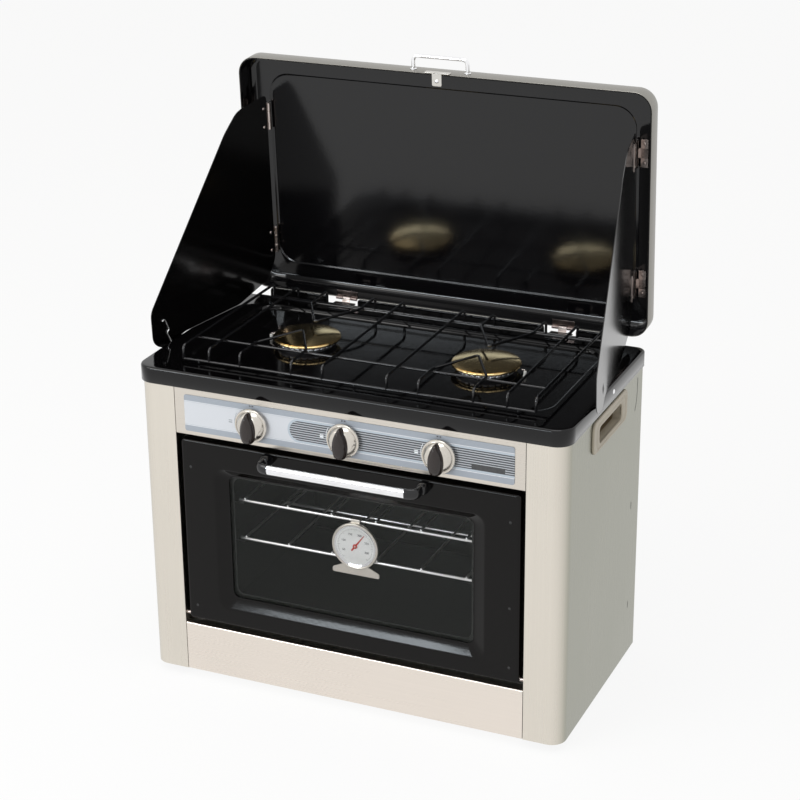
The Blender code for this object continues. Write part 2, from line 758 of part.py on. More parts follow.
def burner(side, name, frame, axis):
    """Cup with its slotted head, and the loose brass cap that stands on it."""
    centre = (side * BURNER_X, BURNER_Y, 0)
    seat = HOB_FLOOR + GAP
    shoulder = seat + BURNER_FLANGE_HEIGHT
    crown = shoulder + BURNER_HEAD_HEIGHT
    neck = BURNER_HOLE - 2 * GAP
    body = lathe([(0, seat - BURNER_CUP_DEPTH), (BURNER_CUP_FOOT, seat - BURNER_CUP_DEPTH),
                  (neck, seat - OVERRUN), (neck, seat), (BURNER_FLANGE, seat),
                  (BURNER_FLANGE, seat + BURNER_FLANGE_HEIGHT / 2),
                  (BURNER_FLANGE - BURNER_FLANGE_HEIGHT, shoulder), (BURNER_HEAD, shoulder),
                  (BURNER_HEAD, crown), (0, crown)], BURNER_SIDES)
    ports = []
    for i in range(BURNER_PORTS):
        port = block(BURNER_HEAD - BURNER_PORT_DEPTH, BURNER_HEAD + OVERRUN, -BURNER_PORT_WIDTH / 2,
                     BURNER_PORT_WIDTH / 2, crown - BURNER_PORT_DEPTH, crown + OVERRUN)
        ports.append(moved(port, rotation=Matrix.Rotation(math.tau * (i + 0.5) / BURNER_PORTS, 3, "Z")))
    place("burner_" + name, cut(body, *ports), "aluminium", frame, centre)
    base = crown + GAP
    dome = []
    for i in range(CAP_DOME_STEPS + 1):
        share = i / CAP_DOME_STEPS
        dome.append((CAP_RADIUS * (1 - share), base + CAP_EDGE + CAP_DOME * math.sin(share * QUARTER_TURN)))
    cap = lathe([(0, base), (CAP_LIP, base), (CAP_RADIUS - CAP_EDGE / 2, base),
                 (CAP_RADIUS, base + CAP_EDGE / 2)] + dome, BURNER_SIDES)
    place("burner_cap_" + name, cap, "brass", axis, centre)
    tip = (side * (BURNER_X + IGNITER_OFFSET), BURNER_Y, 0)
    rise = HOB_FLOOR + IGNITER_RISE
    rod_mesh = lathe([(0, HOB_FLOOR - IGNITER_DROP), (IGNITER_RADIUS, HOB_FLOOR - IGNITER_DROP),
                      (IGNITER_RADIUS, rise - IGNITER_RADIUS), (IGNITER_TOP_RADIUS, rise), (0, rise)],
                     IGNITER_SIDES)
    place("igniter_" + name, rod_mesh, "ceramic", frame, tip)


def pan_support(frame):
    """Welded wire support: straight wires, V fingers over each burner, rails, cross rods and feet."""
    top = SUPPORT_TOP - SUPPORT_WIRE
    front = SUPPORT_FRONT
    back = SUPPORT_BACK
    half = SUPPORT_RAIL_HALF
    inner, outer = [half * share for share in SUPPORT_FINGER_SHARES]
    pieces = []
    for side in (-1, 1):
        for share in SUPPORT_STRAIGHT_SHARES:
            x = side * half * share
            path = [(x, front, SUPPORT_RAIL_Z), (x, front, top), (x, back, top), (x, back, SUPPORT_RAIL_Z)]
            pieces.append(wire(eased(path, SUPPORT_BEND, SUPPORT_BEND_STEPS), SUPPORT_WIRE))
        for edge, bend_y, tip_y in zip((front, back), FINGER_BEND_YS, FINGER_TIP_YS):
            path = [(side * inner, edge, SUPPORT_RAIL_Z), (side * inner, edge, top),
                    (side * inner, bend_y, top), (side * (inner + outer) / 2, tip_y, top),
                    (side * outer, bend_y, top), (side * outer, edge, top),
                    (side * outer, edge, SUPPORT_RAIL_Z)]
            pieces.append(wire(eased(path, SUPPORT_BEND, SUPPORT_BEND_STEPS), SUPPORT_WIRE))
    for y in (front, back):
        pieces.append(wire([(-half, y, SUPPORT_RAIL_Z), (half, y, SUPPORT_RAIL_Z)], SUPPORT_WIRE))
        for share in SUPPORT_FOOT_SHARES:
            x = share * half
            pieces.append(wire([(x, y, SUPPORT_RAIL_Z), (x, y, HOB_TOP + GAP)], SUPPORT_WIRE))
    under = top - SUPPORT_WIRE * SUPPORT_CROSS_DROP_SHARE
    reach = half * SUPPORT_STRAIGHT_SHARES[-1]
    for y in SUPPORT_CROSS:
        pieces.append(wire([(-reach, y, under), (reach, y, under)], SUPPORT_WIRE))
    place("pan_support", join(*pieces), "enamel", frame)


def oven_liner(frame):
    """Oven box, open in front, with its front flange and the ledges that carry racks and floor."""
    back = FLANGE_Y + CAVITY_DEPTH
    flange = HALF - LINER_FLANGE_MARGIN

    def ring(half, low, high, y):
        outline = rounded_rect(-half, half, low, high, LINER_CORNER, LINER_CORNER_STEPS)
        return [(x, y, z) for x, z in outline]

    rings = [ring(CAVITY_HALF, CAVITY_BOTTOM, CAVITY_TOP, back),
             ring(CAVITY_HALF, CAVITY_BOTTOM, CAVITY_TOP, FLANGE_Y),
             ring(flange, LINER_FLANGE_BOTTOM, LINER_FLANGE_TOP, FLANGE_Y),
             ring(flange, LINER_FLANGE_BOTTOM, LINER_FLANGE_TOP, FLANGE_Y + SHEET),
             ring(CAVITY_HALF + SHEET, CAVITY_BOTTOM - SHEET, CAVITY_TOP + SHEET, FLANGE_Y + SHEET),
             ring(CAVITY_HALF + SHEET, CAVITY_BOTTOM - SHEET, CAVITY_TOP + SHEET, back + SHEET)]
    ledges = []
    for seat in (RACK_UPPER_Z - RACK_WIRE, RACK_LOWER_Z - RACK_WIRE, FLOOR_PLATE_Z):
        for side in (-1, 1):
            xs = sorted((side * (CAVITY_HALF - LEDGE_WIDTH), side * (CAVITY_HALF + SHEET / 2)))
            ledges.append(block(xs[0], xs[1], FLANGE_Y + SHEET, back + SHEET / 2,
                                seat - GAP - LEDGE_THICK, seat - GAP))
    place("oven_liner", join(loft(rings), *ledges), "galvanised", frame)


def oven_floor(frame):
    """Floor plate over the burner, and the burner tube on its two brackets."""
    half = CAVITY_HALF - FLOOR_PLATE_INSET
    front = FLANGE_Y + FLOOR_PLATE_INSET
    back = FLANGE_Y + CAVITY_DEPTH - FLOOR_PLATE_INSET
    path = [(front, FLOOR_PLATE_Z + FLOOR_PLATE_LIP), (front, FLOOR_PLATE_Z), (back, FLOOR_PLATE_Z),
            (back, FLOOR_PLATE_Z + FLOOR_PLATE_LIP)]
    place("oven_floor_plate", prism(strip(path, SHEET), -half, half, "x"), "enamel", frame)
    axis_z = CAVITY_BOTTOM + TUBE_RADIUS + 2 * SHEET
    tube = rod("x", -TUBE_HALF, TUBE_HALF, TUBE_Y, axis_z, TUBE_RADIUS, TUBE_SIDES)
    stands = []
    for side in (-1, 1):
        x = side * TUBE_HALF * TUBE_BRACKET_SHARE
        stands.append(block(x - SHEET / 2, x + SHEET / 2, TUBE_Y - TUBE_BRACKET_WIDTH / 2,
                            TUBE_Y + TUBE_BRACKET_WIDTH / 2, CAVITY_BOTTOM + GAP, axis_z))
    place("oven_burner_tube", join(tube, *stands), "aluminium", frame)


def oven_rack(name, z, axis):
    """Wire rack: rods across, with the lengthways wires standing on them."""
    pieces = []
    for share in RACK_ROD_SHARES:
        y = RACK_FRONT_Y + RACK_DEPTH * share
        pieces.append(wire([(-RACK_HALF, y, z), (RACK_HALF, y, z)], RACK_WIRE))
    over = z + RACK_WIRE * RACK_STACK_SHARE
    ends = (RACK_FRONT_Y - RACK_WIRE, RACK_FRONT_Y + RACK_DEPTH + RACK_WIRE)
    for share in RACK_CROSS_SHARES:
        for side in (-1, 1):
            x = side * share * RACK_HALF
            pieces.append(wire([(x, y, over) for y in ends], RACK_CROSS_WIRE))
    place(name, join(*pieces), "chrome", axis)


def thermometer(rack_axis, needle_axis):
    """Oven thermometer: dished dial case with foot and hook, and its needle on a pin."""
    front = DIAL_FRONT_Y
    face = front + DIAL_RECESS
    rear = front + DIAL_THICK
    inside = DIAL_RADIUS - DIAL_RIM
    profile = [(0, rear), (DIAL_RADIUS, rear), (DIAL_RADIUS, front), (inside, front), (inside, face),
               (DIAL_PIN, face), (DIAL_PIN, front + DIAL_RIM / 4), (0, front + DIAL_RIM / 4)]
    case = lathe([(r, -y) for r, y in profile], DIAL_SIDES, axis="y")
    moved(case, (DIAL_X, 0, DIAL_Z))
    base = DIAL_Z - DIAL_BASE_DROP
    foot = block(DIAL_X - DIAL_BASE_HALF, DIAL_X + DIAL_BASE_HALF, face, rear, base,
                 base + DIAL_BASE_HEIGHT)
    over = RACK_UPPER_Z + RACK_WIRE + GAP + HOOK_THICK
    tail_y = RACK_FRONT_Y + RACK_WIRE + GAP + HOOK_THICK
    low = DIAL_Z + DIAL_RADIUS - 2 * DIAL_RIM
    path = [(rear - HOOK_THICK, low), (rear - HOOK_THICK, over), (tail_y, over), (tail_y, over - HOOK_TAIL)]
    hook = prism(strip(path[::-1], HOOK_THICK), DIAL_X - HOOK_HALF, DIAL_X + HOOK_HALF, "x")
    place("thermometer_case", join(case, foot, hook), "dial", rack_axis)
    blade = prism([(-NEEDLE_WIDTH / 2, -NEEDLE_TAIL), (NEEDLE_WIDTH / 2, -NEEDLE_TAIL),
                   (NEEDLE_WIDTH / 2, 0), (0, NEEDLE_LENGTH), (-NEEDLE_WIDTH / 2, 0)],
                  -NEEDLE_THICK / 2, NEEDLE_THICK / 2, "y")
    hub = rod("y", -NEEDLE_THICK / 2, NEEDLE_THICK / 2, 0, 0, NEEDLE_HUB)
    bore = rod("y", -OVERRUN, OVERRUN, 0, 0, DIAL_PIN + GAP)
    needle = moved(cut(join(blade, hub), bore), rotation=Matrix.Rotation(-NEEDLE_ANGLE, 3, "Y"))
    place("thermometer_needle", needle, "needle", needle_axis)


def door_ring(half, low, high, radius, y):
    """Ring of the door: a rounded rectangle at one depth."""
    return [(x, y - DOOR_AXIS_Y, z - DOOR_AXIS_Z) for x, z in rounded_rect(-half, half, low, high, radius)]


def door(axis):
    """Oven door: pressed shell with a sunk window, glass, and the frame behind it."""
    def edge(inset, y):
        return door_ring(DOOR_HALF - inset, DOOR_BOTTOM + inset, DOOR_TOP - inset, DOOR_CORNER, y)

    def recess(y):
        return door_ring(DOOR_RECESS_HALF, DOOR_RECESS_BOTTOM, DOOR_RECESS_TOP, DOOR_RECESS_CORNER, y)

    def window(y):
        return door_ring(WINDOW_HALF, WINDOW_BOTTOM, WINDOW_TOP, WINDOW_CORNER, y)

    rings = [edge(0, DOOR_DEPTH), edge(0, DOOR_EDGE), edge(DOOR_EDGE, 0), recess(0), window(WINDOW_DEPTH),
             window(WINDOW_DEPTH + SHEET), recess(SHEET), edge(DOOR_EDGE + SHEET / 2, SHEET),
             edge(SHEET, DOOR_EDGE + SHEET), edge(SHEET, DOOR_DEPTH)]
    shell = loft(rings, looped=True)
    bore = rod("x", -HALF, HALF, 0, 0, DOOR_PIN + GAP)
    place("door_outer", cut(shell, bore), "enamel", axis)
    glass_y = WINDOW_DEPTH + SHEET + GAP
    margin = GLASS_MARGIN
    front = door_ring(WINDOW_HALF + margin, WINDOW_BOTTOM - margin, WINDOW_TOP + margin, WINDOW_CORNER,
                      glass_y)
    rear = door_ring(WINDOW_HALF + margin, WINDOW_BOTTOM - margin, WINDOW_TOP + margin, WINDOW_CORNER,
                     glass_y + GLASS_THICK)
    place("door_glass", loft([front, rear]), "glass", axis)
    inner_y = glass_y + GLASS_THICK + GAP
    inset = SHEET + GAP
    shrink = INNER_MARGIN

    def frame_ring(y):
        return door_ring(WINDOW_HALF - shrink, WINDOW_BOTTOM + shrink, WINDOW_TOP - shrink, WINDOW_CORNER, y)

    low = DOOR_AXIS_Z + DOOR_PIN + GAP - DOOR_BOTTOM + SHEET

    def outer_ring(y):
        return door_ring(DOOR_HALF - inset, DOOR_BOTTOM + low, DOOR_TOP - inset, DOOR_CORNER, y)

    rings = [outer_ring(inner_y), frame_ring(inner_y), frame_ring(inner_y + SHEET),
             outer_ring(inner_y + SHEET)]
    place("door_inner", loft(rings, looped=True), "galvanised", axis)


def door_handle(axis):
    """Chrome bar whose ends curve back into two black brackets."""
    ends = HANDLE_BAR_HALF
    straight = ends * HANDLE_STRAIGHT_SHARE
    near = HANDLE_REACH * HANDLE_BACK_SHARE
    path = [(-ends, -near, 0), (-straight, -HANDLE_REACH, 0), (straight, -HANDLE_REACH, 0),
            (ends, -near, 0)]
    route = eased(path, HANDLE_REACH * HANDLE_BEND_SHARE, HANDLE_BEND_STEPS)
    bar = wire(route, HANDLE_THICK / 2, HANDLE_SIDES_LEVEL)
    bar.transform(Matrix.Diagonal((1, 1, HANDLE_TALL / HANDLE_THICK, 1)))
    shift = (0, -DOOR_AXIS_Y, HANDLE_Z - DOOR_AXIS_Z)
    place("door_handle_bar", moved(bar, shift), "chrome", axis)
    for side, name in ((-1, "left"), (1, "right")):
        xs = sorted((side * (BRACKET_OUTER - BRACKET_WIDTH), side * BRACKET_OUTER))
        outline = rounded_rect(xs[0], xs[1], -BRACKET_HEIGHT / 2, BRACKET_HEIGHT / 2, BRACKET_ROUND,
                               BRACKET_STEPS)
        body = prism(outline, -BRACKET_REACH - HANDLE_SOCKET, -GAP, "y")
        hollow = wire(route, HANDLE_THICK / 2 + GAP, HANDLE_SIDES_LEVEL)
        hollow.transform(Matrix.Diagonal((1, 1, (HANDLE_TALL / 2 + GAP) / (HANDLE_THICK / 2 + GAP), 1)))
        relief = block(side * ends - GAP, side * ends + GAP, -near - GAP, -near + GAP, -HANDLE_TALL / 2,
                       HANDLE_TALL / 2)
        place("door_handle_bracket_" + name, moved(cut(body, join(hollow, relief)), shift), "enamel", axis)


def knob_set(number, x, frame):
    """Valve, sprung spindle and knob of one control."""
    centre = (x, 0, KNOB_Z)
    back = SHEET + GAP
    rear = back + VALVE_LENGTH - MANIFOLD_RADIUS
    bore = SPINDLE_RADIUS + GAP
    deep = SPINDLE_IN + KNOB_TRAVEL + GAP
    body = lathe([(0, -back), (VALVE_NOSE, -back), (VALVE_NOSE, -back - VALVE_NOSE_LENGTH),
                  (VALVE_RADIUS, -back - VALVE_NOSE_LENGTH), (VALVE_RADIUS, -rear), (0, -rear)],
                 PIPE_SIDES, axis="y")
    well = rod("y", -OVERRUN, deep, 0, 0, bore)
    place(f"valve_{number}", cut(body, well), "brass", frame, centre)
    push_axis = empty(f"spindle_axis_{number}", centre, frame)
    spindle = rod("y", -SPINDLE_OUT, SPINDLE_IN, 0, 0, SPINDLE_RADIUS)
    place(f"valve_spindle_{number}", spindle, "brass", push_axis)
    turn_axis = empty(f"knob_axis_{number}", (0, 0, 0), push_axis)
    rest = GAP + LABEL_THICK + KNOB_TRAVEL
    bezel = rest + KNOB_BEZEL_THICK
    cone = bezel + KNOB_CONE_HEIGHT
    disc = lathe([(0, rest), (KNOB_BEZEL, rest), (KNOB_BEZEL, bezel - GAP),
                  (KNOB_BEZEL - KNOB_BEZEL_EDGE, bezel),
                  (KNOB_CONE, bezel), (KNOB_CONE_TOP, cone), (0, cone)], KNOB_SIDES, axis="y")
    right = [(GRIP_HALF * a, GRIP_UP * b if b > 0 else GRIP_DOWN * b) for a, b in GRIP_OUTLINE_SHARES]
    left = [(-a, b) for a, b in right[::-1] if a > 0]
    grip = prism(right + left, -cone - GRIP_HEIGHT, -cone + GAP, "y")
    hole = rod("y", -SPINDLE_OUT - GAP, OVERRUN, 0, 0, bore)
    place(f"knob_{number}", cut(join(disc, grip), hole), "knob", turn_axis)


def gas_manifold(frame):
    """Gas pipe behind the valves, turned back along the right side to the inlet fitting."""
    y = SHEET + GAP + VALVE_LENGTH + GAP
    back = BODY_DEPTH - SHEET - GAP
    seat = back - SHEET - GAP
    middle = seat - INLET_NUT_LENGTH / 2
    path = [(-MANIFOLD_LEFT, y, KNOB_Z), (MANIFOLD_RIGHT, y, KNOB_Z), (MANIFOLD_RIGHT, middle - GAP, KNOB_Z)]
    pipe = wire(eased(path, MANIFOLD_BEND, MANIFOLD_BEND_STEPS), MANIFOLD_RADIUS)
    nut = rod("y", seat - INLET_NUT_LENGTH, seat, MANIFOLD_RIGHT, KNOB_Z, INLET_NUT, INLET_SIDES)
    inlet = rod("y", middle, back + INLET_LENGTH, MANIFOLD_RIGHT, KNOB_Z, INLET_RADIUS, PIPE_SIDES)
    place("gas_manifold", join(pipe, nut, inlet), "galvanised", frame)


def carry_handle(name, side, frame):
    """Recessed bezel in the side panel, with its pocket for the fingers."""
    outer = HALF + GAP

    def slab(grow, low, high, y0, y1, z0, z1, radius):
        outline = rounded_rect(y0 - grow, y1 + grow, z0 - grow, z1 + grow, radius, BEZEL_STEPS)
        xs = sorted((side * low, side * high))
        return prism(outline, xs[0], xs[1], "x")

    flange = slab(0, outer, outer + BEZEL_PROUD, BEZEL_Y0, BEZEL_Y1, BEZEL_Z0, BEZEL_Z1, BEZEL_CORNER)
    box = slab(POCKET_WALL, outer - POCKET_DEPTH - POCKET_WALL, outer + BEZEL_PROUD / 2, POCKET_Y0,
               POCKET_Y1, POCKET_Z0, POCKET_Z1, POCKET_CORNER)
    hollow = slab(0, outer - POCKET_DEPTH, outer + OVERRUN, POCKET_Y0, POCKET_Y1, POCKET_Z0, POCKET_Z1,
                  POCKET_CORNER)
    place("carry_handle_" + name, cut(join(flange, box), hollow), "beige", frame)


def lid_ring(inset, depth):
    """Ring of the lid in its own frame: x across, y back from the hinge axis, z up along the lid."""
    outline = rounded_rect(-LID_HALF + inset, LID_HALF - inset, LID_BOTTOM + inset, LID_TOP - inset,
                           max(LID_CORNER - inset, LID_LEAST_CORNER), CORNER_STEPS,
                           max(LID_LOW_CORNER - inset, LID_LEAST_CORNER))
    return [(x, LID_FRONT + depth, z) for x, z in outline]


def tray_rings(wall, edge):
    """Rings of one tray wall: straight from the front edge, then round into the floor."""
    rings = [lid_ring(wall, 0)]
    depth = LID_DEPTH - wall
    for i in range(LID_EDGE_STEPS + 1):
        angle = QUARTER_TURN * i / LID_EDGE_STEPS
        rings.append(lid_ring(wall + edge * (1 - math.cos(angle)), depth - edge + edge * math.sin(angle)))
    return rings


def lid_trays(axis):
    """Outer lid shell and the black liner inside it, whose floor carries a raised panel."""
    outer = tray_rings(0, LID_EDGE)
    inner = tray_rings(SHEET, LID_EDGE - SHEET)
    place("lid_shell", loft(outer[::-1] + inner), "stainless", axis)
    back = tray_rings(SHEET + GAP, LID_EDGE - SHEET - GAP)
    wall = 2 * SHEET + GAP
    face = tray_rings(wall, LID_EDGE - wall)
    floor = LID_DEPTH - wall
    face.append(lid_ring(LID_PANEL_INSET, floor))
    face.append(lid_ring(LID_PANEL_INSET + LID_PANEL_SLOPE, floor - LID_PANEL_RISE))
    place("lid_liner", loft(back[::-1] + face), "enamel", axis)


def lid_fittings(axis):
    """D handle on the lid's top wall, and the catch plate at its front edge."""
    top = LID_TOP + GAP
    y = LID_FRONT + LID_HANDLE_Y
    path = [(-LID_HANDLE_HALF, y, top), (-LID_HANDLE_HALF, y, top + LID_HANDLE_RISE - LID_HANDLE_WIRE),
            (LID_HANDLE_HALF, y, top + LID_HANDLE_RISE - LID_HANDLE_WIRE), (LID_HANDLE_HALF, y, top)]
    route = eased(path, LID_HANDLE_BEND, LID_HANDLE_BEND_STEPS)
    place("lid_handle", wire(route, LID_HANDLE_WIRE), "chrome", axis)
    front = LID_FRONT - GAP - CATCH_THICK
    plate = block(-CATCH_HALF, CATCH_HALF, front, LID_FRONT + CATCH_DEPTH, top, top + CATCH_THICK)
    tab = block(-CATCH_TAB_HALF, CATCH_TAB_HALF, front, LID_FRONT - GAP, top - CATCH_TAB_DROP,
                top + CATCH_THICK)
    place("lid_catch", join(plate, tab), "stainless", axis)


def lid_hinges(frame, axis):
    """Two hinges: a leaf on the hob's rear ledge with knuckle and pin, and a leaf on the lid."""
    thick = LID_HINGE_LEAF
    half = LID_HINGE_HALF
    share = half * KNUCKLE_SHARE
    seat = HOB_TOP + GAP
    barrel = LID_HINGE_BARREL
    for x_share, name in zip(LID_HINGE_SHARES, ("left", "right")):
        centre = LID_HALF * x_share
        leaf = block(centre - half, centre + half, LID_PIVOT_Y - LID_HINGE_HOB_REACH,
                     LID_PIVOT_Y - barrel - GAP - SHEET, seat, seat + thick)
        tongue = block(centre - share, centre + share, LID_PIVOT_Y - 2 * barrel - SHEET, LID_PIVOT_Y,
                       seat, LID_PIVOT_Z)
        knuckle = rod("x", centre - share, centre + share, LID_PIVOT_Y, LID_PIVOT_Z, barrel)
        pin = rod("x", centre - half, centre + half, LID_PIVOT_Y, LID_PIVOT_Z, HINGE_PIN)
        place("hob_hinge_" + name, join(leaf, tongue, knuckle, pin), "chrome", frame)
        arms = []
        for side in (-1, 1):
            xs = sorted((centre + side * (share + GAP), centre + side * half))
            arms.append(rod("x", xs[0], xs[1], 0, 0, barrel))
        face = LID_FRONT - GAP
        plate = block(centre - half, centre + half, face - thick, face, barrel + GAP,
                      LID_HINGE_LID_RISE)
        webs = []
        for side in (-1, 1):
            xs = sorted((centre + side * (share + GAP), centre + side * half))
            webs.append(block(xs[0], xs[1], face - thick, face, 0, barrel + 2 * GAP))
        leaf_mesh = join(plate, *webs, *arms)
        bore = rod("x", centre - half - OVERRUN, centre + half + OVERRUN, 0, 0, HINGE_PIN + GAP)
        place("lid_hinge_" + name, cut(leaf_mesh, bore), "chrome", axis)


def windshield(name, side, lid_axis, axis):
    """Windshield sheet with its hinge knuckles, and the two hinge leaves on the lid."""
    outline = [(-SHIELD_REACH * a, SHIELD_HEIGHT * b) for a, b in SHIELD_OUTLINE_SHARES]
    smooth = [(p.x, p.y) for p in eased(outline, SHIELD_CORNER, SHIELD_CORNER_STEPS, closed=True)]
    sheet = prism(smooth, -SHEET / 2, SHEET / 2, "x")
    knuckles = []
    bores = []
    share = SHIELD_HINGE_HALF * KNUCKLE_SHARE
    for number, z in enumerate(SHIELD_HINGE_ZS, start=1):
        for end in (-1, 1):
            zs = sorted((z + end * (share + GAP), z + end * SHIELD_HINGE_HALF))
            knuckles.append(rod("z", zs[0], zs[1], 0, 0, SHIELD_BARREL))
            knuckles.append(block(-SHIELD_LEAF, SHIELD_LEAF, -SHIELD_LEAF_REACH, 0, zs[0], zs[1]))
        bores.append(rod("z", z - SHIELD_HINGE_HALF - OVERRUN, z + SHIELD_HINGE_HALF + OVERRUN, 0, 0,
                         HINGE_PIN + GAP))
        x = side * SHIELD_X
        y = LID_FRONT + SHIELD_AXIS_DEPTH
        floor = LID_FRONT + LID_DEPTH - 2 * SHEET - GAP
        barrel = rod("z", z - share, z + share, x, y, SHIELD_BARREL)
        pin = rod("z", z - SHIELD_HINGE_HALF, z + SHIELD_HINGE_HALF, x, y, HINGE_PIN)
        xs = sorted((x, x + side * SHIELD_LID_LEAF))
        web = block(xs[0], xs[1], floor - GAP - SHIELD_LEAF, floor - GAP, z - share, z + share)
        sides = sorted((x + side * GAP, x + side * SHIELD_BARREL))
        neck = block(sides[0], sides[1], y, floor - 2 * GAP, z - share + GAP, z + share - GAP)
        outer = sorted((x + side * (SHIELD_BARREL + 2 * SHEET), x + side * SHIELD_LID_LEAF))
        leaf = block(outer[0], outer[1], floor - GAP - SHIELD_LEAF, floor - GAP, z - SHIELD_HINGE_HALF,
                     z + SHIELD_HINGE_HALF)
        place(f"shield_hinge_{name}_{number}", join(barrel, pin, neck, web, leaf), "chrome", lid_axis)
    place("windshield_" + name, cut(join(sheet, *knuckles), *bores), "enamel", axis)


def build():
    """Make every sub-part in the body frame and on its joint axis."""
    clear_scene()
    frame = empty("body_frame", (0, FRONT_Y, FOOT_HEIGHT))
    side_panel("side_panel_left", -1, frame)
    side_panel("side_panel_right", 1, frame)
    place("kick_panel", folded_panel(0.0, KICK_HEIGHT), "stainless", frame)
    control_panel(frame)
    control_label(frame)
    back_panel(frame)
    base_plate(frame)
    feet(frame)
    hob_plate(frame)
    for side, name in ((-1, "left"), (1, "right")):
        burner(side, name, frame, empty("cap_lift_" + name, (0, 0, 0), frame))
    pan_support(empty("support_lift", (0, 0, 0), frame))
    oven_liner(frame)
    oven_floor(frame)
    upper = empty("rack_slide_upper", (0, 0, 0), frame)
    oven_rack("oven_rack_upper", RACK_UPPER_Z, upper)
    oven_rack("oven_rack_lower", RACK_LOWER_Z, empty("rack_slide_lower", (0, 0, 0), frame))
    needle_y = DIAL_FRONT_Y + DIAL_RECESS - NEEDLE_THICK
    thermometer(upper, empty("needle_axis", (DIAL_X, needle_y, DIAL_Z), upper))
    door_axis = empty("door_axis", (0, DOOR_AXIS_Y, DOOR_AXIS_Z), frame)
    door(door_axis)
    door_handle(door_axis)
    for number, x in enumerate(KNOB_XS, start=1):
        knob_set(number, x, frame)
    gas_manifold(frame)
    carry_handle("left", -1, frame)
    carry_handle("right", 1, frame)
    lid_axis = empty("lid_axis", (0, LID_PIVOT_Y, LID_PIVOT_Z), frame, (LID_LEAN, 0, 0))
    lid_trays(lid_axis)
    lid_fittings(lid_axis)
    lid_hinges(frame, lid_axis)
    for side, name in ((-1, "left"), (1, "right")):
        shield_axis = empty("shield_axis_" + name, (side * SHIELD_X, LID_FRONT + SHIELD_AXIS_DEPTH, 0),
                            lid_axis, (0, 0, side * SHIELD_SPLAY))
        windshield(name, side, lid_axis, shield_axis)


build()
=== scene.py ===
"""Looks of a camping stove with oven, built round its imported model.

Lengths are in metres. The body frame has x from the middle, y back from the front face and z up from the
lower edge of the body. The lid frame starts on the lid's hinge axis and leans back with the lid.
"""
import logging
import math
from collections.abc import Callable
from dataclasses import dataclass
from enum import Enum

import bmesh
import bpy
import numpy as np
from mathutils import Matrix, Vector


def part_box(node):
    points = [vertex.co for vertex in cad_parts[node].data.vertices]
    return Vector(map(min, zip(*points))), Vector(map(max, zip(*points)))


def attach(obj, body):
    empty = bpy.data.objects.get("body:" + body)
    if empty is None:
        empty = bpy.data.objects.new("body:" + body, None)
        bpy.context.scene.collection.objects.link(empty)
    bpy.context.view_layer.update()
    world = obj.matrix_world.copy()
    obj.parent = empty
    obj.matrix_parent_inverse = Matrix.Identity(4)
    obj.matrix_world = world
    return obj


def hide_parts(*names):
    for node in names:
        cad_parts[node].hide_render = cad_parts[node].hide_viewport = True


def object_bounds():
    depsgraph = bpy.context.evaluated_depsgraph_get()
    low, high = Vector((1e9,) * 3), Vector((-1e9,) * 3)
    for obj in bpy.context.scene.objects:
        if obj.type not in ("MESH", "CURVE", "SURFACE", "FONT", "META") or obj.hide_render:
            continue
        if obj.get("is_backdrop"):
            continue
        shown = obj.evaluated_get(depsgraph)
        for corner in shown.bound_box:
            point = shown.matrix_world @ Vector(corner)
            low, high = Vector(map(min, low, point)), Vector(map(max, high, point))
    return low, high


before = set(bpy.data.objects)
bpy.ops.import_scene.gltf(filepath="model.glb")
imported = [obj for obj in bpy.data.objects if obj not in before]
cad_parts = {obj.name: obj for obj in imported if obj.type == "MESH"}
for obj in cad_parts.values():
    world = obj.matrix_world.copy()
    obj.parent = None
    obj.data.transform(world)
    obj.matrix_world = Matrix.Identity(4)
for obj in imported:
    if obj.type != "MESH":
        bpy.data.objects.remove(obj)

LOG = logging.getLogger("stove")
SIDES = ((-1, "left"), (1, "right"))
BODY_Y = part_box("kick_panel")[0].y
BODY_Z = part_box("side_panel_left")[0].z
OBLIQUE = (0.62, 0.48, 0.62)
CLEARANCE = 0.0003
LEAST_RADIUS = 0.0004
KNUCKLE_SHARE = 0.36
FACING_FRONT = Matrix.Rotation(math.pi / 2, 4, "X")
BACK_TO_FRONT = Matrix.Diagonal((1, -1, 1, 1))


# Shader maths
def operator(operation: str, swapped: bool = False) -> "Callable[[Signal, Signal | float], Signal]":
    """Make an operator of two values that adds one Math node.

    Args:
        operation: the node's operation.
        swapped: whether the other value comes first.

    Returns:
        The method of Signal.
    """

    def combine(self: "Signal", other: "Signal | float") -> "Signal":
        """Combine this signal with the other value."""
        values = (other, self) if swapped else (self, other)
        return self._math(operation, *values)

    return combine


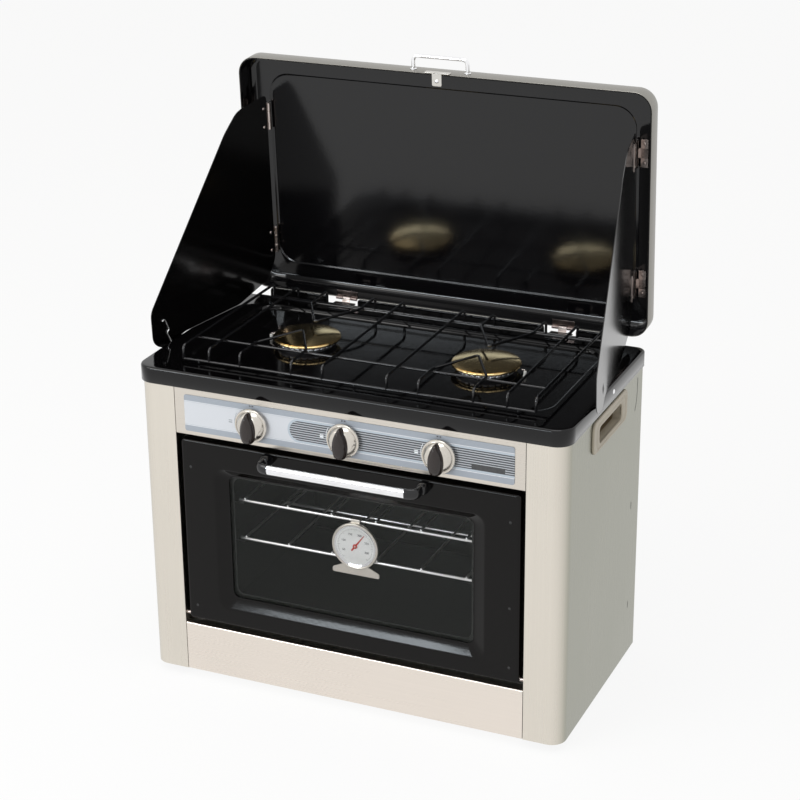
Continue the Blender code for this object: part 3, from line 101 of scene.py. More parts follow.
class Signal:
    """A node socket that takes part in arithmetic."""

    def __init__(self, graph: "Graph", socket: bpy.types.NodeSocket) -> None:
        """Keep the socket and the graph that it belongs to."""
        self.graph = graph
        self.socket = socket

    def _math(self, operation: str, *values: "Signal | float") -> "Signal":
        """Add one Math node over the values."""
        return self.graph.node("ShaderNodeMath", {"operation": operation}, dict(enumerate(values)))

    __add__ = operator("ADD")
    __radd__ = __add__
    __sub__ = operator("SUBTRACT")
    __rsub__ = operator("SUBTRACT", True)
    __mul__ = operator("MULTIPLY")
    __rmul__ = __mul__
    __truediv__ = operator("DIVIDE")
    __pow__ = operator("POWER")
    __gt__ = operator("GREATER_THAN")
    __lt__ = operator("LESS_THAN")
    larger = operator("MAXIMUM")
    smaller = operator("MINIMUM")

    def __abs__(self) -> "Signal":
        """Size without its sign."""
        return self._math("ABSOLUTE", self)

    def fraction(self) -> "Signal":
        """Part after the point."""
        return self._math("FRACT", self)

    def between(self, low: float, high: float) -> "Signal":
        """One between two bounds, else nought."""
        return (self > low) * (self < high)

    def eased(self, low: float, high: float) -> "Signal":
        """Nought below low, one above high, smooth between."""
        return self.graph.node("ShaderNodeMapRange", {"interpolation_type": "SMOOTHSTEP"},
                               {"Value": self, "From Min": low, "From Max": high})


class Graph:
    """Node tree of one material or world."""

    def __init__(self, tree: bpy.types.NodeTree) -> None:
        """Start from an empty tree."""
        self.tree = tree
        tree.nodes.clear()

    def node(self, kind: str, settings: dict | None = None, inputs: dict | None = None,
             output: int | str = 0) -> Signal:
        """Add a node.

        Args:
            kind: type name of the node.
            settings: attributes to set first; "stops" holds a ramp's positions and colours.
            inputs: values or signals by socket name or number.
            output: name or number of the socket to return.

        Returns:
            The node's output as a signal.
        """
        made = self.tree.nodes.new(kind)
        for key, value in (settings or {}).items():
            if key == "stops":
                self._stops(made.color_ramp, value)
            else:
                setattr(made, key, value)
        for key, value in (inputs or {}).items():
            if isinstance(value, Signal):
                self.tree.links.new(value.socket, made.inputs[key])
            else:
                made.inputs[key].default_value = value
        return Signal(self, made.outputs[output]) if len(made.outputs) else None

    @staticmethod
    def _stops(ramp: bpy.types.ColorRamp, stops: tuple) -> None:
        """Set a ramp's positions and colours."""
        while len(ramp.elements) < len(stops):
            ramp.elements.new(1.0)
        for element, (position, colour) in zip(ramp.elements, stops):
            element.position = position
            element.color = (*colour, 1.0)

    def place(self) -> Signal:
        """Object coordinates."""
        return self.node("ShaderNodeTexCoord", output="Object")

    def axes(self) -> tuple[Signal, Signal, Signal]:
        """The three object coordinates as separate signals."""
        first = self.node("ShaderNodeSeparateXYZ", inputs={0: self.place()})
        outputs = first.socket.node.outputs
        return first, Signal(self, outputs[1]), Signal(self, outputs[2])

    def stretched(self, scale: tuple[float, float, float]) -> Signal:
        """Object coordinates scaled along each axis."""
        return self.node("ShaderNodeMapping", {"vector_type": "POINT"},
                         {"Vector": self.place(), "Scale": scale})

    def noise(self, vector: Signal, scale: float, detail: float = 2.0, roughness: float = 0.5) -> Signal:
        """Soft noise between nought and one."""
        return self.node("ShaderNodeTexNoise", inputs={
            "Vector": vector, "Scale": scale, "Detail": detail, "Roughness": roughness})

    def cells(self, vector: Signal, scale: float, output: str = "Distance") -> Signal:
        """Voronoi cells."""
        return self.node("ShaderNodeTexVoronoi", {"feature": "F1"},
                         {"Vector": vector, "Scale": scale}, output)

    def blend(self, factor: Signal | float, first: "Signal | tuple", second: "Signal | tuple") -> Signal:
        """Mix of two colours."""
        made = self.tree.nodes.new("ShaderNodeMix")
        made.data_type = "RGBA"
        for number, value in ((0, factor), (6, first), (7, second)):
            if isinstance(value, Signal):
                self.tree.links.new(value.socket, made.inputs[number])
            else:
                made.inputs[number].default_value = value if number == 0 else (*value, 1.0)
        return Signal(self, made.outputs[2])

    def bump(self, height: Signal, strength: float, distance: float) -> Signal:
        """Normal from a height."""
        return self.node("ShaderNodeBump", inputs={
            "Height": height, "Strength": strength, "Distance": distance})

    def output(self, surface: Signal, kind: str = "ShaderNodeOutputMaterial") -> None:
        """Link the surface to the output."""
        self.node(kind, inputs={"Surface": surface})


def tinted(colour: tuple[float, float, float], share: float) -> tuple[float, float, float]:
    """Colour made lighter or darker by a share."""
    return tuple(min(1.0, channel * share) for channel in colour)


# Finishes
class Grain(Enum):
    """Direction in which a metal sheet was brushed."""

    ALONG_X = (5.0, 700.0, 700.0)
    ALONG_Z = (700.0, 700.0, 5.0)


@dataclass(frozen=True)
class Finish:
    """Base of all finishes: a named Principled material."""

    name: str
    colour: tuple[float, float, float]
    roughness: float

    def material(self) -> bpy.types.Material:
        """The finish as a material, made once."""
        title = "finish_" + self.name
        found = bpy.data.materials.get(title)
        if found:
            return found
        made = bpy.data.materials.new(title)
        made.use_nodes = True
        graph = Graph(made.node_tree)
        values = {"Base Color": (*self.colour, 1.0), "Roughness": self.roughness}
        values.update(self.detail(graph))
        graph.output(graph.node("ShaderNodeBsdfPrincipled", inputs=values))
        return made

    def detail(self, graph: Graph) -> dict:
        """Values and signals for the shader's sockets."""
        raise NotImplementedError


@dataclass(frozen=True)
class BrushedSteel(Finish):
    """Stainless sheet with a fine brushed grain and faint handling marks."""

    grain: Grain = Grain.ALONG_X

    def detail(self, graph: Graph) -> dict:
        """Grain drives colour, roughness and bump; broad clouds dull the sheen."""
        lines = graph.noise(graph.stretched(self.grain.value), 1.0, 3.0, 0.6)
        clouds = graph.noise(graph.place(), 7.0, 3.0, 0.55)
        shade = lines * 0.55 + clouds * 0.45
        return {
            "Base Color": graph.blend(shade, tinted(self.colour, 0.93), tinted(self.colour, 1.06)),
            "Roughness": self.roughness - 0.06 + lines * 0.10 + clouds * 0.05,
            "Metallic": 1.0,
            "Normal": graph.bump(lines, 0.04, 0.0002),
        }


@dataclass(frozen=True)
class SteelWithPaintedSideShade(BrushedSteel):
    """Brushed sheet with painted shade: its long side is coloured darker than its front strip, for the dimmer
    light the side gets.
    """

    # colour of the long side, darker than the front: painted shade for the side's dimmer light
    side: tuple[float, float, float] = (0.39, 0.39, 0.36)
    turn: tuple[float, float] = (-0.002, 0.021)

    def detail(self, graph: Graph) -> dict:
        """The same grain, and a colour that eases from the front to the side's painted shade round the
        corner.
        """
        made = super().detail(graph)
        _, y, _ = graph.axes()
        lines = graph.noise(graph.stretched(self.grain.value), 1.0, 3.0, 0.6)
        # painted shade: the side's darker colour, with the same grain
        dark = graph.blend(lines, tinted(self.side, 0.93), tinted(self.side, 1.06))
        turned = (y - BODY_Y).eased(*self.turn)
        made["Base Color"] = graph.blend(turned, made["Base Color"], dark)
        return made


@dataclass(frozen=True)
class Enamel(Finish):
    """Fired gloss enamel: glassy, with a slight orange peel and a few specks."""

    gloss: float = 0.35

    def detail(self, graph: Graph) -> dict:
        """Fine waves in the surface, specks of dust, and clouds in the gloss."""
        peel = graph.noise(graph.place(), 220.0, 2.0, 0.45)
        clouds = graph.noise(graph.place(), 11.0, 3.0, 0.6)
        specks = 1 - graph.cells(graph.place(), 420.0).eased(0.05, 0.11)
        rare = graph.noise(graph.place(), 60.0, 1.0) > 0.64
        marks = specks * rare
        return {
            "Base Color": graph.blend(marks * 0.5, self.colour, (0.09, 0.09, 0.09)),
            "Roughness": self.roughness + clouds * 0.05 + marks * 0.25,
            "Specular IOR Level": self.gloss,
            "Normal": graph.bump(peel, 0.035, 0.0006),
        }


@dataclass(frozen=True)
class BrightMetal(Finish):
    """Plated or polished metal with hairline wear."""

    wear: float = 0.10

    def detail(self, graph: Graph) -> dict:
        """Wear from two noises in roughness and colour."""
        fine = graph.noise(graph.place(), 900.0, 2.0, 0.6)
        broad = graph.noise(graph.place(), 45.0, 3.0, 0.6)
        return {
            "Base Color": graph.blend(broad, tinted(self.colour, 0.86), tinted(self.colour, 1.05)),
            "Roughness": self.roughness + fine * self.wear + broad * self.wear * 0.6,
            "Metallic": 1.0,
            "Normal": graph.bump(fine, 0.05, 0.0001),
        }


@dataclass(frozen=True)
class TurnedBrass(Finish):
    """Brass burner cap turned on a lathe, a little heat-tinted towards its rim."""

    centre_x: float = 0.1215
    centre_y: float = 0.0
    radius: float = 0.0435

    def detail(self, graph: Graph) -> dict:
        """Rings about each cap's centre, with a heat tint that grows with the radius."""
        x, y, _ = graph.axes()
        out = ((abs(x) - self.centre_x) ** 2.0 + (y - self.centre_y) ** 2.0) ** 0.5
        rings = (out * 900.0).fraction()
        stain = graph.noise(graph.place(), 90.0, 3.0, 0.6)
        heat = out.eased(self.radius * 0.55, self.radius * 1.05) * stain
        pale = graph.blend(stain, tinted(self.colour, 0.92), tinted(self.colour, 1.06))
        return {
            "Base Color": graph.blend(heat * 0.55, pale, (0.52, 0.30, 0.11)),
            "Roughness": self.roughness + stain * 0.10 + rings * 0.04,
            "Metallic": 1.0,
            "Normal": graph.bump(rings, 0.06, 0.0001),
        }


@dataclass(frozen=True)
class CastMetal(Finish):
    """Cast aluminium with a sandy surface."""

    def detail(self, graph: Graph) -> dict:
        """Sand grains in bump and colour."""
        sand = graph.noise(graph.place(), 1400.0, 3.0, 0.7)
        soot = graph.noise(graph.place(), 80.0, 3.0, 0.6)
        return {
            "Base Color": graph.blend(soot, tinted(self.colour, 0.72), self.colour),
            "Roughness": self.roughness + sand * 0.15,
            "Metallic": 1.0,
            "Normal": graph.bump(sand, 0.35, 0.0004),
        }


@dataclass(frozen=True)
class ZincSheet(Finish):
    """Galvanised sheet with its spangle."""

    def detail(self, graph: Graph) -> dict:
        """Spangle cells, each a little lighter or darker than the next."""
        cell = graph.cells(graph.place(), 95.0, "Color")
        tone = graph.node("ShaderNodeSeparateColor", inputs={0: cell})
        dust = graph.noise(graph.place(), 14.0, 3.0, 0.6)
        return {
            "Base Color": graph.blend(tone * 0.6 + dust * 0.4, tinted(self.colour, 0.78),
                                      tinted(self.colour, 1.08)),
            "Roughness": self.roughness - 0.08 + tone * 0.16 + dust * 0.10,
            "Metallic": 1.0,
            "Normal": graph.bump(tone, 0.05, 0.0002),
        }


@dataclass(frozen=True)
class Moulded(Finish):
    """Moulded plastic, rubber or glazed ceramic with its own grain."""

    grain_scale: float = 900.0
    grain_depth: float = 0.10

    def detail(self, graph: Graph) -> dict:
        """Fine grain in bump, broad clouds in colour."""
        grain = graph.noise(graph.place(), self.grain_scale, 2.0, 0.6)
        clouds = graph.noise(graph.place(), 30.0, 3.0, 0.55)
        return {
            "Base Color": graph.blend(clouds, tinted(self.colour, 0.86), tinted(self.colour, 1.10)),
            "Roughness": self.roughness + grain * 0.08,
            "Normal": graph.bump(grain, self.grain_depth, 0.0003),
        }


@dataclass(frozen=True)
class OvenGlass(Finish):
    """Tinted oven glass with faint wiping marks."""

    cover: float = 0.10

    def detail(self, graph: Graph) -> dict:
        """See-through by alpha; wiping marks change the gloss and the cover a little."""
        wipes = graph.noise(graph.stretched((3.0, 20.0, 14.0)), 3.0, 4.0, 0.6)
        return {
            "Roughness": self.roughness + wipes * 0.05,
            "Alpha": self.cover + wipes * 0.06,
            "Specular IOR Level": 0.9,
        }


@dataclass(frozen=True)
class PrintedLabel(Finish):
    """Control label: two bands, a pale field, a striped field, a plain box and generic marks."""

    half: float = 0.2166
    knob_pitch: float = 0.123
    knob_z: float = 0.3695
    low: float = 0.347
    high: float = 0.395
    band: float = 0.0090
    field_left: float = -0.0600
    stripes: int = 10

    def detail(self, graph: Graph) -> dict:
        """Build the print from masks of the label's own x and z."""
        x, _, z = graph.axes()
        middle = (self.low + self.high) / 2
        inner = (self.high - self.low) / 2 - self.band
        height = abs(z - middle)
        field = 1 - height.eased(inner - 0.0002, inner + 0.0002)
        rule = height.between(inner + 0.0004, inner + 0.0012)
        bands = graph.blend(field, self.colour, (0.610, 0.625, 0.660))
        bands = graph.blend(rule, bands, (0.74, 0.75, 0.78))
        left = (self.field_left - x).larger(0.0)
        capsule = (left ** 2.0 + (z - middle) ** 2.0) ** 0.5
        border = 1 - capsule.eased(inner + 0.0002, inner + 0.0006)
        dark = 1 - capsule.eased(inner - 0.0026, inner - 0.0022)
        stripe = ((z - middle) * (self.stripes / (2 * inner))).fraction().between(0.30, 0.66)
        striped = graph.blend(stripe, (0.035, 0.038, 0.048), (0.50, 0.53, 0.56))
        box = x.between(0.163, 0.205) * z.between(middle - inner + 0.0015, middle - inner + 0.0100)
        striped = graph.blend(box, striped, (0.016, 0.017, 0.020))
        ground = graph.blend(border * field, bands, (0.45, 0.51, 0.57))
        ground = graph.blend(dark * field, ground, striped)
        near = ((x / self.knob_pitch + 0.5).fraction() - 0.5) * self.knob_pitch
        up = z - self.knob_z
        out = (near ** 2.0 + up ** 2.0) ** 0.5
        arc = out.between(0.0238, 0.0245) * (near < -0.008) * (up < 0.012) * (height < inner)
        bars = (abs(near + 0.0300) < 0.0024) * ((abs(up - 0.0012) < 0.0006) + (abs(up + 0.0014) < 0.0008))
        light = (arc + bars).smaller(1.0) * (abs(x) < 0.17)
        ink = graph.blend(x > -0.09, (0.30, 0.32, 0.34), (0.88, 0.90, 0.92))
        ground = graph.blend(light, ground, ink)
        spot = ((abs(near - 0.0008) < 0.0012) + (abs(near + 0.0028) < 0.0012)) * (abs(up - 0.0236) < 0.0009)
        ground = graph.blend(spot * (abs(x) < 0.17), ground, (0.06, 0.06, 0.07))
        worn = graph.noise(graph.place(), 260.0, 3.0, 0.6)
        return {
            "Base Color": graph.blend(worn * 0.12, ground, (0.62, 0.62, 0.62)),
            "Roughness": self.roughness + worn * 0.10,
            "Normal": graph.bump(worn, 0.03, 0.0002),
        }


STEEL_FRONT = BrushedSteel("steel_front", (0.675, 0.625, 0.560), 0.27, Grain.ALONG_X)
# lit copy of the front steel, brighter for the light the low kick panel gets from the floor: painted light
STEEL_KICK_PAINTED_FLOOR_LIGHT = BrushedSteel("steel_kick_painted_floor_light", (0.810, 0.738, 0.665), 0.27, Grain.ALONG_X)
# same stainless as STEEL_FRONT: the front strip is a brighter lit copy and the long side a darker copy,
# painted light and shade
STEEL_PAINTED_SIDE_SHADE = SteelWithPaintedSideShade("steel_painted_side_shade", (0.740, 0.690, 0.612), 0.27, Grain.ALONG_Z, (0.312, 0.312, 0.258))
STEEL_LID = BrushedSteel("steel_lid", (0.310, 0.300, 0.275), 0.30, Grain.ALONG_X)
STEEL_TRIM = BrushedSteel("steel_trim", (0.60, 0.58, 0.54), 0.28, Grain.ALONG_X)
ENAMEL_BLACK = Enamel("enamel_black", (0.0014, 0.0012, 0.0015), 0.045, 0.36)
ENAMEL_SHIELD = Enamel("enamel_shield", (0.0020, 0.0018, 0.0018), 0.110, 0.75)
ENAMEL_LID = Enamel("enamel_lid", (0.0022, 0.0020, 0.0026), 0.090, 0.46)
ENAMEL_DOOR = Enamel("enamel_door", (0.0024, 0.0018, 0.0015), 0.050, 0.20)
ENAMEL_OVEN = Enamel("enamel_oven", (0.010, 0.011, 0.009), 0.28, 0.30)
ENAMEL_WIRE = Enamel("enamel_wire", (0.005, 0.005, 0.006), 0.10, 0.55)
# gloss black of the handle brackets; on the elbows over the chrome bar's ends it is a painted dark reflection
GLOSS_BLACK_AND_PAINTED_REFLECTION = Moulded("gloss_black", (0.006, 0.006, 0.007), 0.08, 500.0, 0.02)
CHROME = BrightMetal("chrome", (0.92, 0.92, 0.93), 0.07, 0.06)
HINGE_STEEL = BrightMetal("hinge_steel", (0.52, 0.45, 0.42), 0.16, 0.10)
# darker copy of the hinge steel for the lid's leaves: painted shade
HINGE_PAINTED_SHADE = BrightMetal("hinge_painted_shade", (0.25, 0.20, 0.185), 0.20, 0.10)
RACK_CHROME = BrightMetal("rack_chrome", (0.92, 0.92, 0.91), 0.22, 0.10)
SKIRT_SILVER = BrightMetal("skirt_silver", (0.66, 0.62, 0.56), 0.14, 0.08)
CASE_STEEL = BrightMetal("case_steel", (0.78, 0.73, 0.66), 0.26, 0.10)
BRASS = TurnedBrass("brass", (0.84, 0.66, 0.34), 0.05)
BRASS_FITTING = BrightMetal("brass_fitting", (0.78, 0.60, 0.28), 0.28, 0.12)
ALUMINIUM = CastMetal("aluminium", (0.86, 0.87, 0.91), 0.30)
ZINC = ZincSheet("zinc", (0.56, 0.57, 0.58), 0.42)
GLASS = OvenGlass("glass", (0.012, 0.015, 0.012), 0.015)
CERAMIC = Moulded("ceramic", (0.86, 0.85, 0.81), 0.18, 1200.0, 0.04)
RUBBER = Moulded("rubber", (0.016, 0.014, 0.014), 0.62, 1500.0, 0.35)
BEIGE = Moulded("beige", (0.47, 0.42, 0.33), 0.40, 1100.0, 0.20)
# darker copy of the beige for the pocket's inside: painted shade in the recess
BEIGE_PAINTED_SHADE = Moulded("beige_painted_shade", (0.20, 0.15, 0.085), 0.36, 1100.0, 0.20)
GRIP_BROWN = Moulded("grip_brown", (0.020, 0.013, 0.011), 0.12, 500.0, 0.03)
DIAL_WHITE = Moulded("dial_white", (0.95, 0.95, 0.92), 0.35, 900.0, 0.03)
DIAL_INK = Moulded("dial_ink", (0.05, 0.05, 0.06), 0.45, 900.0, 0.03)
NEEDLE_RED = Moulded("needle_red", (0.62, 0.050, 0.035), 0.35, 900.0, 0.03)
# painted shade of holes, slots and slits; also the door's own black screw heads
PAINTED_HOLE_SHADE_AND_BLACK = Moulded("painted_hole_shade_and_black", (0.010, 0.010, 0.010), 0.50, 900.0, 0.03)
LABEL = PrintedLabel("label", (0.320, 0.352, 0.400), 0.34)


# Surfaces
@dataclass(frozen=True)
class Skin:
    """Points of a surface, the corners of its faces in a row, and each face's corner count."""

    points: np.ndarray
    corners: np.ndarray
    sizes: np.ndarray

    @property
    def starts(self) -> np.ndarray:
        """Place of each face's first corner."""
        return np.concatenate(([0], np.cumsum(self.sizes)[:-1]))

    def outward(self) -> "Skin":
        """The surface with its faces turned outwards.

        Formula: the signed volume is a third of the sum over faces of a corner times the face's area
        vector, which is half the sum of the cross products of its corners in turn. A negative volume
        means that every face is turned round.
        """
        following = np.arange(1, len(self.corners) + 1)
        ends = np.cumsum(self.sizes) - 1
        following[ends] = self.starts
        here = self.points[self.corners]
        area = np.add.reduceat(np.cross(here, here[following]), self.starts) / 2
        if (here[self.starts] * area).sum() >= 0:
            return self
        return self.turned()

    def turned(self) -> "Skin":
        """The surface with every face turned round: corner k of n becomes corner n - 1 - k."""
        place = np.arange(len(self.corners))
        owner_start = np.repeat(self.starts, self.sizes)
        owner_size = np.repeat(self.sizes, self.sizes)
        return Skin(self.points, self.corners[2 * owner_start + owner_size - 1 - place], self.sizes)

    def moved(self, matrix: Matrix | np.ndarray) -> "Skin":
        """The surface carried by a 4 by 4 matrix, turned outwards again where that mirrors it."""
        whole = np.array(matrix)
        made = Skin(self.points @ whole[:3, :3].T + whole[:3, 3], self.corners, self.sizes)
        return made.turned() if np.linalg.det(whole[:3, :3]) < 0 else made


def joined(skins: list[Skin]) -> Skin:
    """Several surfaces as one: corner numbers shift by the points before them."""
    shift = np.cumsum([0] + [len(skin.points) for skin in skins[:-1]])
    return Skin(np.concatenate([skin.points for skin in skins]),
                np.concatenate([skin.corners + step for skin, step in zip(skins, shift)]),
                np.concatenate([skin.sizes for skin in skins]))


def skinned(rings: np.ndarray, looped: bool = False) -> Skin:
    """Closed surface over rings of equal count.

    Formula: face (i, j) joins ring points (i, j), (i, j + 1), (i + 1, j + 1) and (i + 1, j), with j
    running round. The first and last rings are capped, or joined to each other.

    Args:
        rings: points by ring, place round the ring, and coordinate.
        looped: whether the last ring meets the first.

    Returns:
        The surface, turned outwards.
    """
    count, around = rings.shape[:2]
    i = np.arange(count if looped else count - 1)[:, None]
    j = np.arange(around)[None, :]
    up = (i + 1) % count
    on = (j + 1) % around
    quads = np.stack(np.broadcast_arrays(i * around + j, i * around + on, up * around + on, up * around + j),
                     axis=-1).reshape(-1)
    corners = [quads]
    sizes = [np.full(len(quads) // 4, 4)]
    if not looped:
        corners += [np.arange(around)[::-1], (count - 1) * around + np.arange(around)]
        sizes.append(np.array([around, around]))
    return Skin(rings.reshape(-1, 3), np.concatenate(corners), np.concatenate(sizes)).outward()


def circle(radius: float, sides: int, flat: float = 1.0) -> np.ndarray:
    """Section points (r cos a, r flat sin a)."""
    angle = np.arange(sides) * math.tau / sides
    return np.stack([radius * np.cos(angle), radius * flat * np.sin(angle)], axis=1)


def strip(half_a: float, half_b: float) -> np.ndarray:
    """Rectangular section of a flat strip."""
    return np.array([(-half_a, -half_b), (half_a, -half_b), (half_a, half_b), (-half_a, half_b)])


def gentle(share: np.ndarray | float) -> np.ndarray | float:
    """Share that starts and ends softly: s^2 (3 - 2 s)."""
    return share ** 2 * (3 - 2 * share)


def eased(points: list, radius: float, steps: int = 6, closed: bool = False) -> np.ndarray:
    """Path whose corners are curves.

    Formula: corner c, with a point s before it and a point e after it, each a radius away, becomes
    s (1 - t)^2 + 2 c t (1 - t) + e t^2.

    Args:
        points: corners of the path.
        radius: distance from a corner at which its curve starts.
        steps: steps of each curve.
        closed: whether the path runs round.

    Returns:
        The path's points.
    """
    whole = np.array(points, dtype=float)
    before = np.roll(whole, 1, axis=0) - whole
    after = np.roll(whole, -1, axis=0) - whole
    reach_b = np.linalg.norm(before, axis=1, keepdims=True)
    reach_a = np.linalg.norm(after, axis=1, keepdims=True)
    start = whole + before / np.maximum(reach_b, 1e-9) * np.minimum(radius, reach_b * 0.45)
    end = whole + after / np.maximum(reach_a, 1e-9) * np.minimum(radius, reach_a * 0.45)
    t = np.linspace(0, 1, steps + 1)[None, :, None]
    curves = start[:, None] * (1 - t) ** 2 + whole[:, None] * 2 * t * (1 - t) + end[:, None] * t ** 2
    if closed:
        return curves.reshape(-1, whole.shape[1])
    inner = curves[1:-1].reshape(-1, whole.shape[1])
    return np.concatenate([whole[:1], inner, whole[-1:]])


def sweep(path: np.ndarray, section: np.ndarray, up: tuple = OBLIQUE, dome: float = 0.0,
          closed: bool = False) -> Skin:
    """Section carried along a path.

    Formula: ring i is path i plus a times side i plus b times top i, for section points (a, b). The side
    is the tangent crossed with up, and the top is the side crossed with the tangent. With a dome, three
    more rings at each end shrink by cos q while they step out by dome sin q.

    Args:
        path: points of the path.
        section: points of the section.
        up: direction that no part of the path runs along.
        dome: length of the rounded ends, or nought for flat ones.
        closed: whether the path runs round.

    Returns:
        The closed surface.
    """
    path = np.asarray(path, dtype=float)
    if closed:
        tangent = np.roll(path, -1, axis=0) - np.roll(path, 1, axis=0)
    else:
        tangent = np.gradient(path, axis=0)
    scale = np.ones(len(path))
    if dome:
        angle = np.linspace(0, math.pi / 2, 4)[1:]
        first = -tangent[0] / np.linalg.norm(tangent[0])
        last = tangent[-1] / np.linalg.norm(tangent[-1])
        step = dome * np.sin(angle)[:, None]
        path = np.concatenate([(path[0] + first * step)[::-1], path, path[-1] + last * step])
        tangent = np.concatenate([np.repeat(tangent[:1], 3, 0), tangent, np.repeat(tangent[-1:], 3, 0)])
        scale = np.concatenate([np.cos(angle)[::-1], scale, np.cos(angle)])
        scale = np.maximum(scale, 1e-4)
    tangent = tangent / np.linalg.norm(tangent, axis=1, keepdims=True)
    side = np.cross(tangent, np.array(up, dtype=float))
    side = side / np.linalg.norm(side, axis=1, keepdims=True)
    top = np.cross(side, tangent)
    rings = (path[:, None] + section[None, :, :1] * side[:, None] * scale[:, None, None]
             + section[None, :, 1:] * top[:, None] * scale[:, None, None])
    return skinned(rings, closed)


def wire(path: np.ndarray, radius: float, sides: int = 12) -> Skin:
    """Round wire along a path, with domed ends."""
    return sweep(path, circle(radius, sides), dome=radius * 0.6)


class Axis(Enum):
    """Axis that a round piece is turned about: its two cross directions and its own."""

    X = ((0, 1, 0), (0, 0, 1), (1, 0, 0))
    Y = ((0, 0, 1), (1, 0, 0), (0, 1, 0))
    Z = ((1, 0, 0), (0, 1, 0), (0, 0, 1))


def lathe(profile: list | np.ndarray, centre: tuple, axis: Axis = Axis.Z, sides: int = 48,
          looped: bool = False) -> Skin:
    """Profile turned about an axis.

    Formula: point (i, j) is the centre plus r_i (cos a_j u + sin a_j v) plus h_i w, where u and v lie
    across the axis and w along it.

    Args:
        profile: pairs of radius and height.
        centre: point on the axis at height nought.
        axis: direction of the axis.
        sides: steps round.
        looped: whether the profile is a closed loop, as for a ring.

    Returns:
        The closed surface.
    """
    shape = np.array(profile, dtype=float)
    u, v, w = (np.array(direction, dtype=float) for direction in axis.value)
    angle = np.arange(sides) * math.tau / sides
    spoke = np.cos(angle)[:, None] * u + np.sin(angle)[:, None] * v
    rings = np.array(centre) + shape[:, 0, None, None] * spoke + shape[:, 1, None, None] * w
    return skinned(rings, looped)


def rounded_rings(half_a: np.ndarray, half_b: np.ndarray, radius: np.ndarray, corner: int = 10,
                  runs: tuple[int, int] = (1, 1)) -> np.ndarray:
    """Rings that are rounded rectangles about the origin.

    Formula: each quarter is an arc of the radius about (a - r, b - r), and straight runs join the arcs.

    Args:
        half_a: half width of each ring.
        half_b: half height of each ring.
        radius: corner radius of each ring.
        corner: steps of a corner.
        runs: steps of the runs across and of the runs along.

    Returns:
        Points by ring, place round it, and the two coordinates.
    """
    half_a, half_b, radius = (np.atleast_1d(np.asarray(v, dtype=float))[:, None]
                              for v in (half_a, half_b, radius))
    half_a, half_b, radius = np.broadcast_arrays(half_a, half_b, radius)
    arcs = []
    for quarter, (sign_a, sign_b) in enumerate(((1, -1), (1, 1), (-1, 1), (-1, -1))):
        angle = (np.linspace(0, 1, corner + 1)[None] + quarter - 1) * math.pi / 2
        arcs.append(np.stack([sign_a * (half_a - radius) + radius * np.cos(angle),
                              sign_b * (half_b - radius) + radius * np.sin(angle)], axis=-1))
    rows = []
    for quarter, arc in enumerate(arcs):
        share = np.linspace(0, 1, runs[1 - quarter % 2] + 1)[1:-1][None, :, None]
        last = arc[:, -1:]
        rows += [arc, last + (arcs[(quarter + 1) % 4][:, :1] - last) * share]
    return np.concatenate(rows, axis=1)


def inset(outline: np.ndarray, distance: float) -> np.ndarray:
    """Outline moved inwards.

    Formula: each corner moves by the distance times the sum of its two edge normals over one plus their
    dot product. The outline runs anticlockwise.
    """
    ahead = np.roll(outline, -1, axis=0) - outline
    ahead = ahead / np.maximum(np.linalg.norm(ahead, axis=1, keepdims=True), 1e-9)
    normal = np.stack([-ahead[:, 1], ahead[:, 0]], axis=1)
    before = np.roll(normal, 1, axis=0)
    share = np.maximum(1 + (normal * before).sum(1, keepdims=True), 0.3)
    return outline + (normal + before) / share * distance


def plate(outline: np.ndarray, low: float, high: float, edge: float, steps: int = 3,
          axis: Axis = Axis.Z) -> Skin:
    """Flat plate with rounded edges.

    Formula: at angle q the ring is the outline inset by edge (1 - sin q), at low + edge (1 - cos q), and
    the same mirrored at the other face. A ring at twice the edge's radius keeps each face flat.

    Args:
        outline: anticlockwise points of the two cross coordinates of the axis.
        low: lower face along the axis.
        high: upper face along the axis.
        edge: radius of the edges.
        steps: steps of an edge.
        axis: direction of the thickness.

    Returns:
        The closed surface.
    """
    angle = np.linspace(0, math.pi / 2, steps + 1)
    reach = edge * (1 - np.sin(angle))
    rise = edge * (1 - np.cos(angle))
    insets = np.concatenate([[edge * 2], reach, reach[::-1], [edge * 2]])
    heights = np.concatenate([[low], low + rise, high - rise[::-1], [high]])
    u, v, w = (np.array(direction, dtype=float) for direction in axis.value)
    flat = np.stack([inset(outline, value) for value in insets])
    rings = flat[..., :1] * u + flat[..., 1:] * v + heights[:, None, None] * w
    return skinned(rings)


def box_plate(a: tuple, b: tuple, low: float, high: float, radius: float, edge: float, axis: Axis) -> Skin:
    """Plate whose outline is a rounded rectangle between two bounds on each cross axis."""
    ring = rounded_rings((a[1] - a[0]) / 2, (b[1] - b[0]) / 2, radius, 6)[0]
    return plate(ring + ((a[0] + a[1]) / 2, (b[0] + b[1]) / 2), low, high, edge, 3, axis)


def knuckle(span: tuple, centre: tuple, axis: Axis, radius: float, bore: float = 0.0013) -> Skin:
    """Hinge knuckle with softened ends.

    Formula: a turned profile from the bore out to the radius and back, a solid where the bore is nought.
    """
    low, high = span
    soft = 0.0003
    return lathe([(bore, low), (radius - soft, low), (radius, low + soft), (radius, high - soft),
                  (radius - soft, high), (bore, high)], centre, axis, 28, looped=bore > 0)


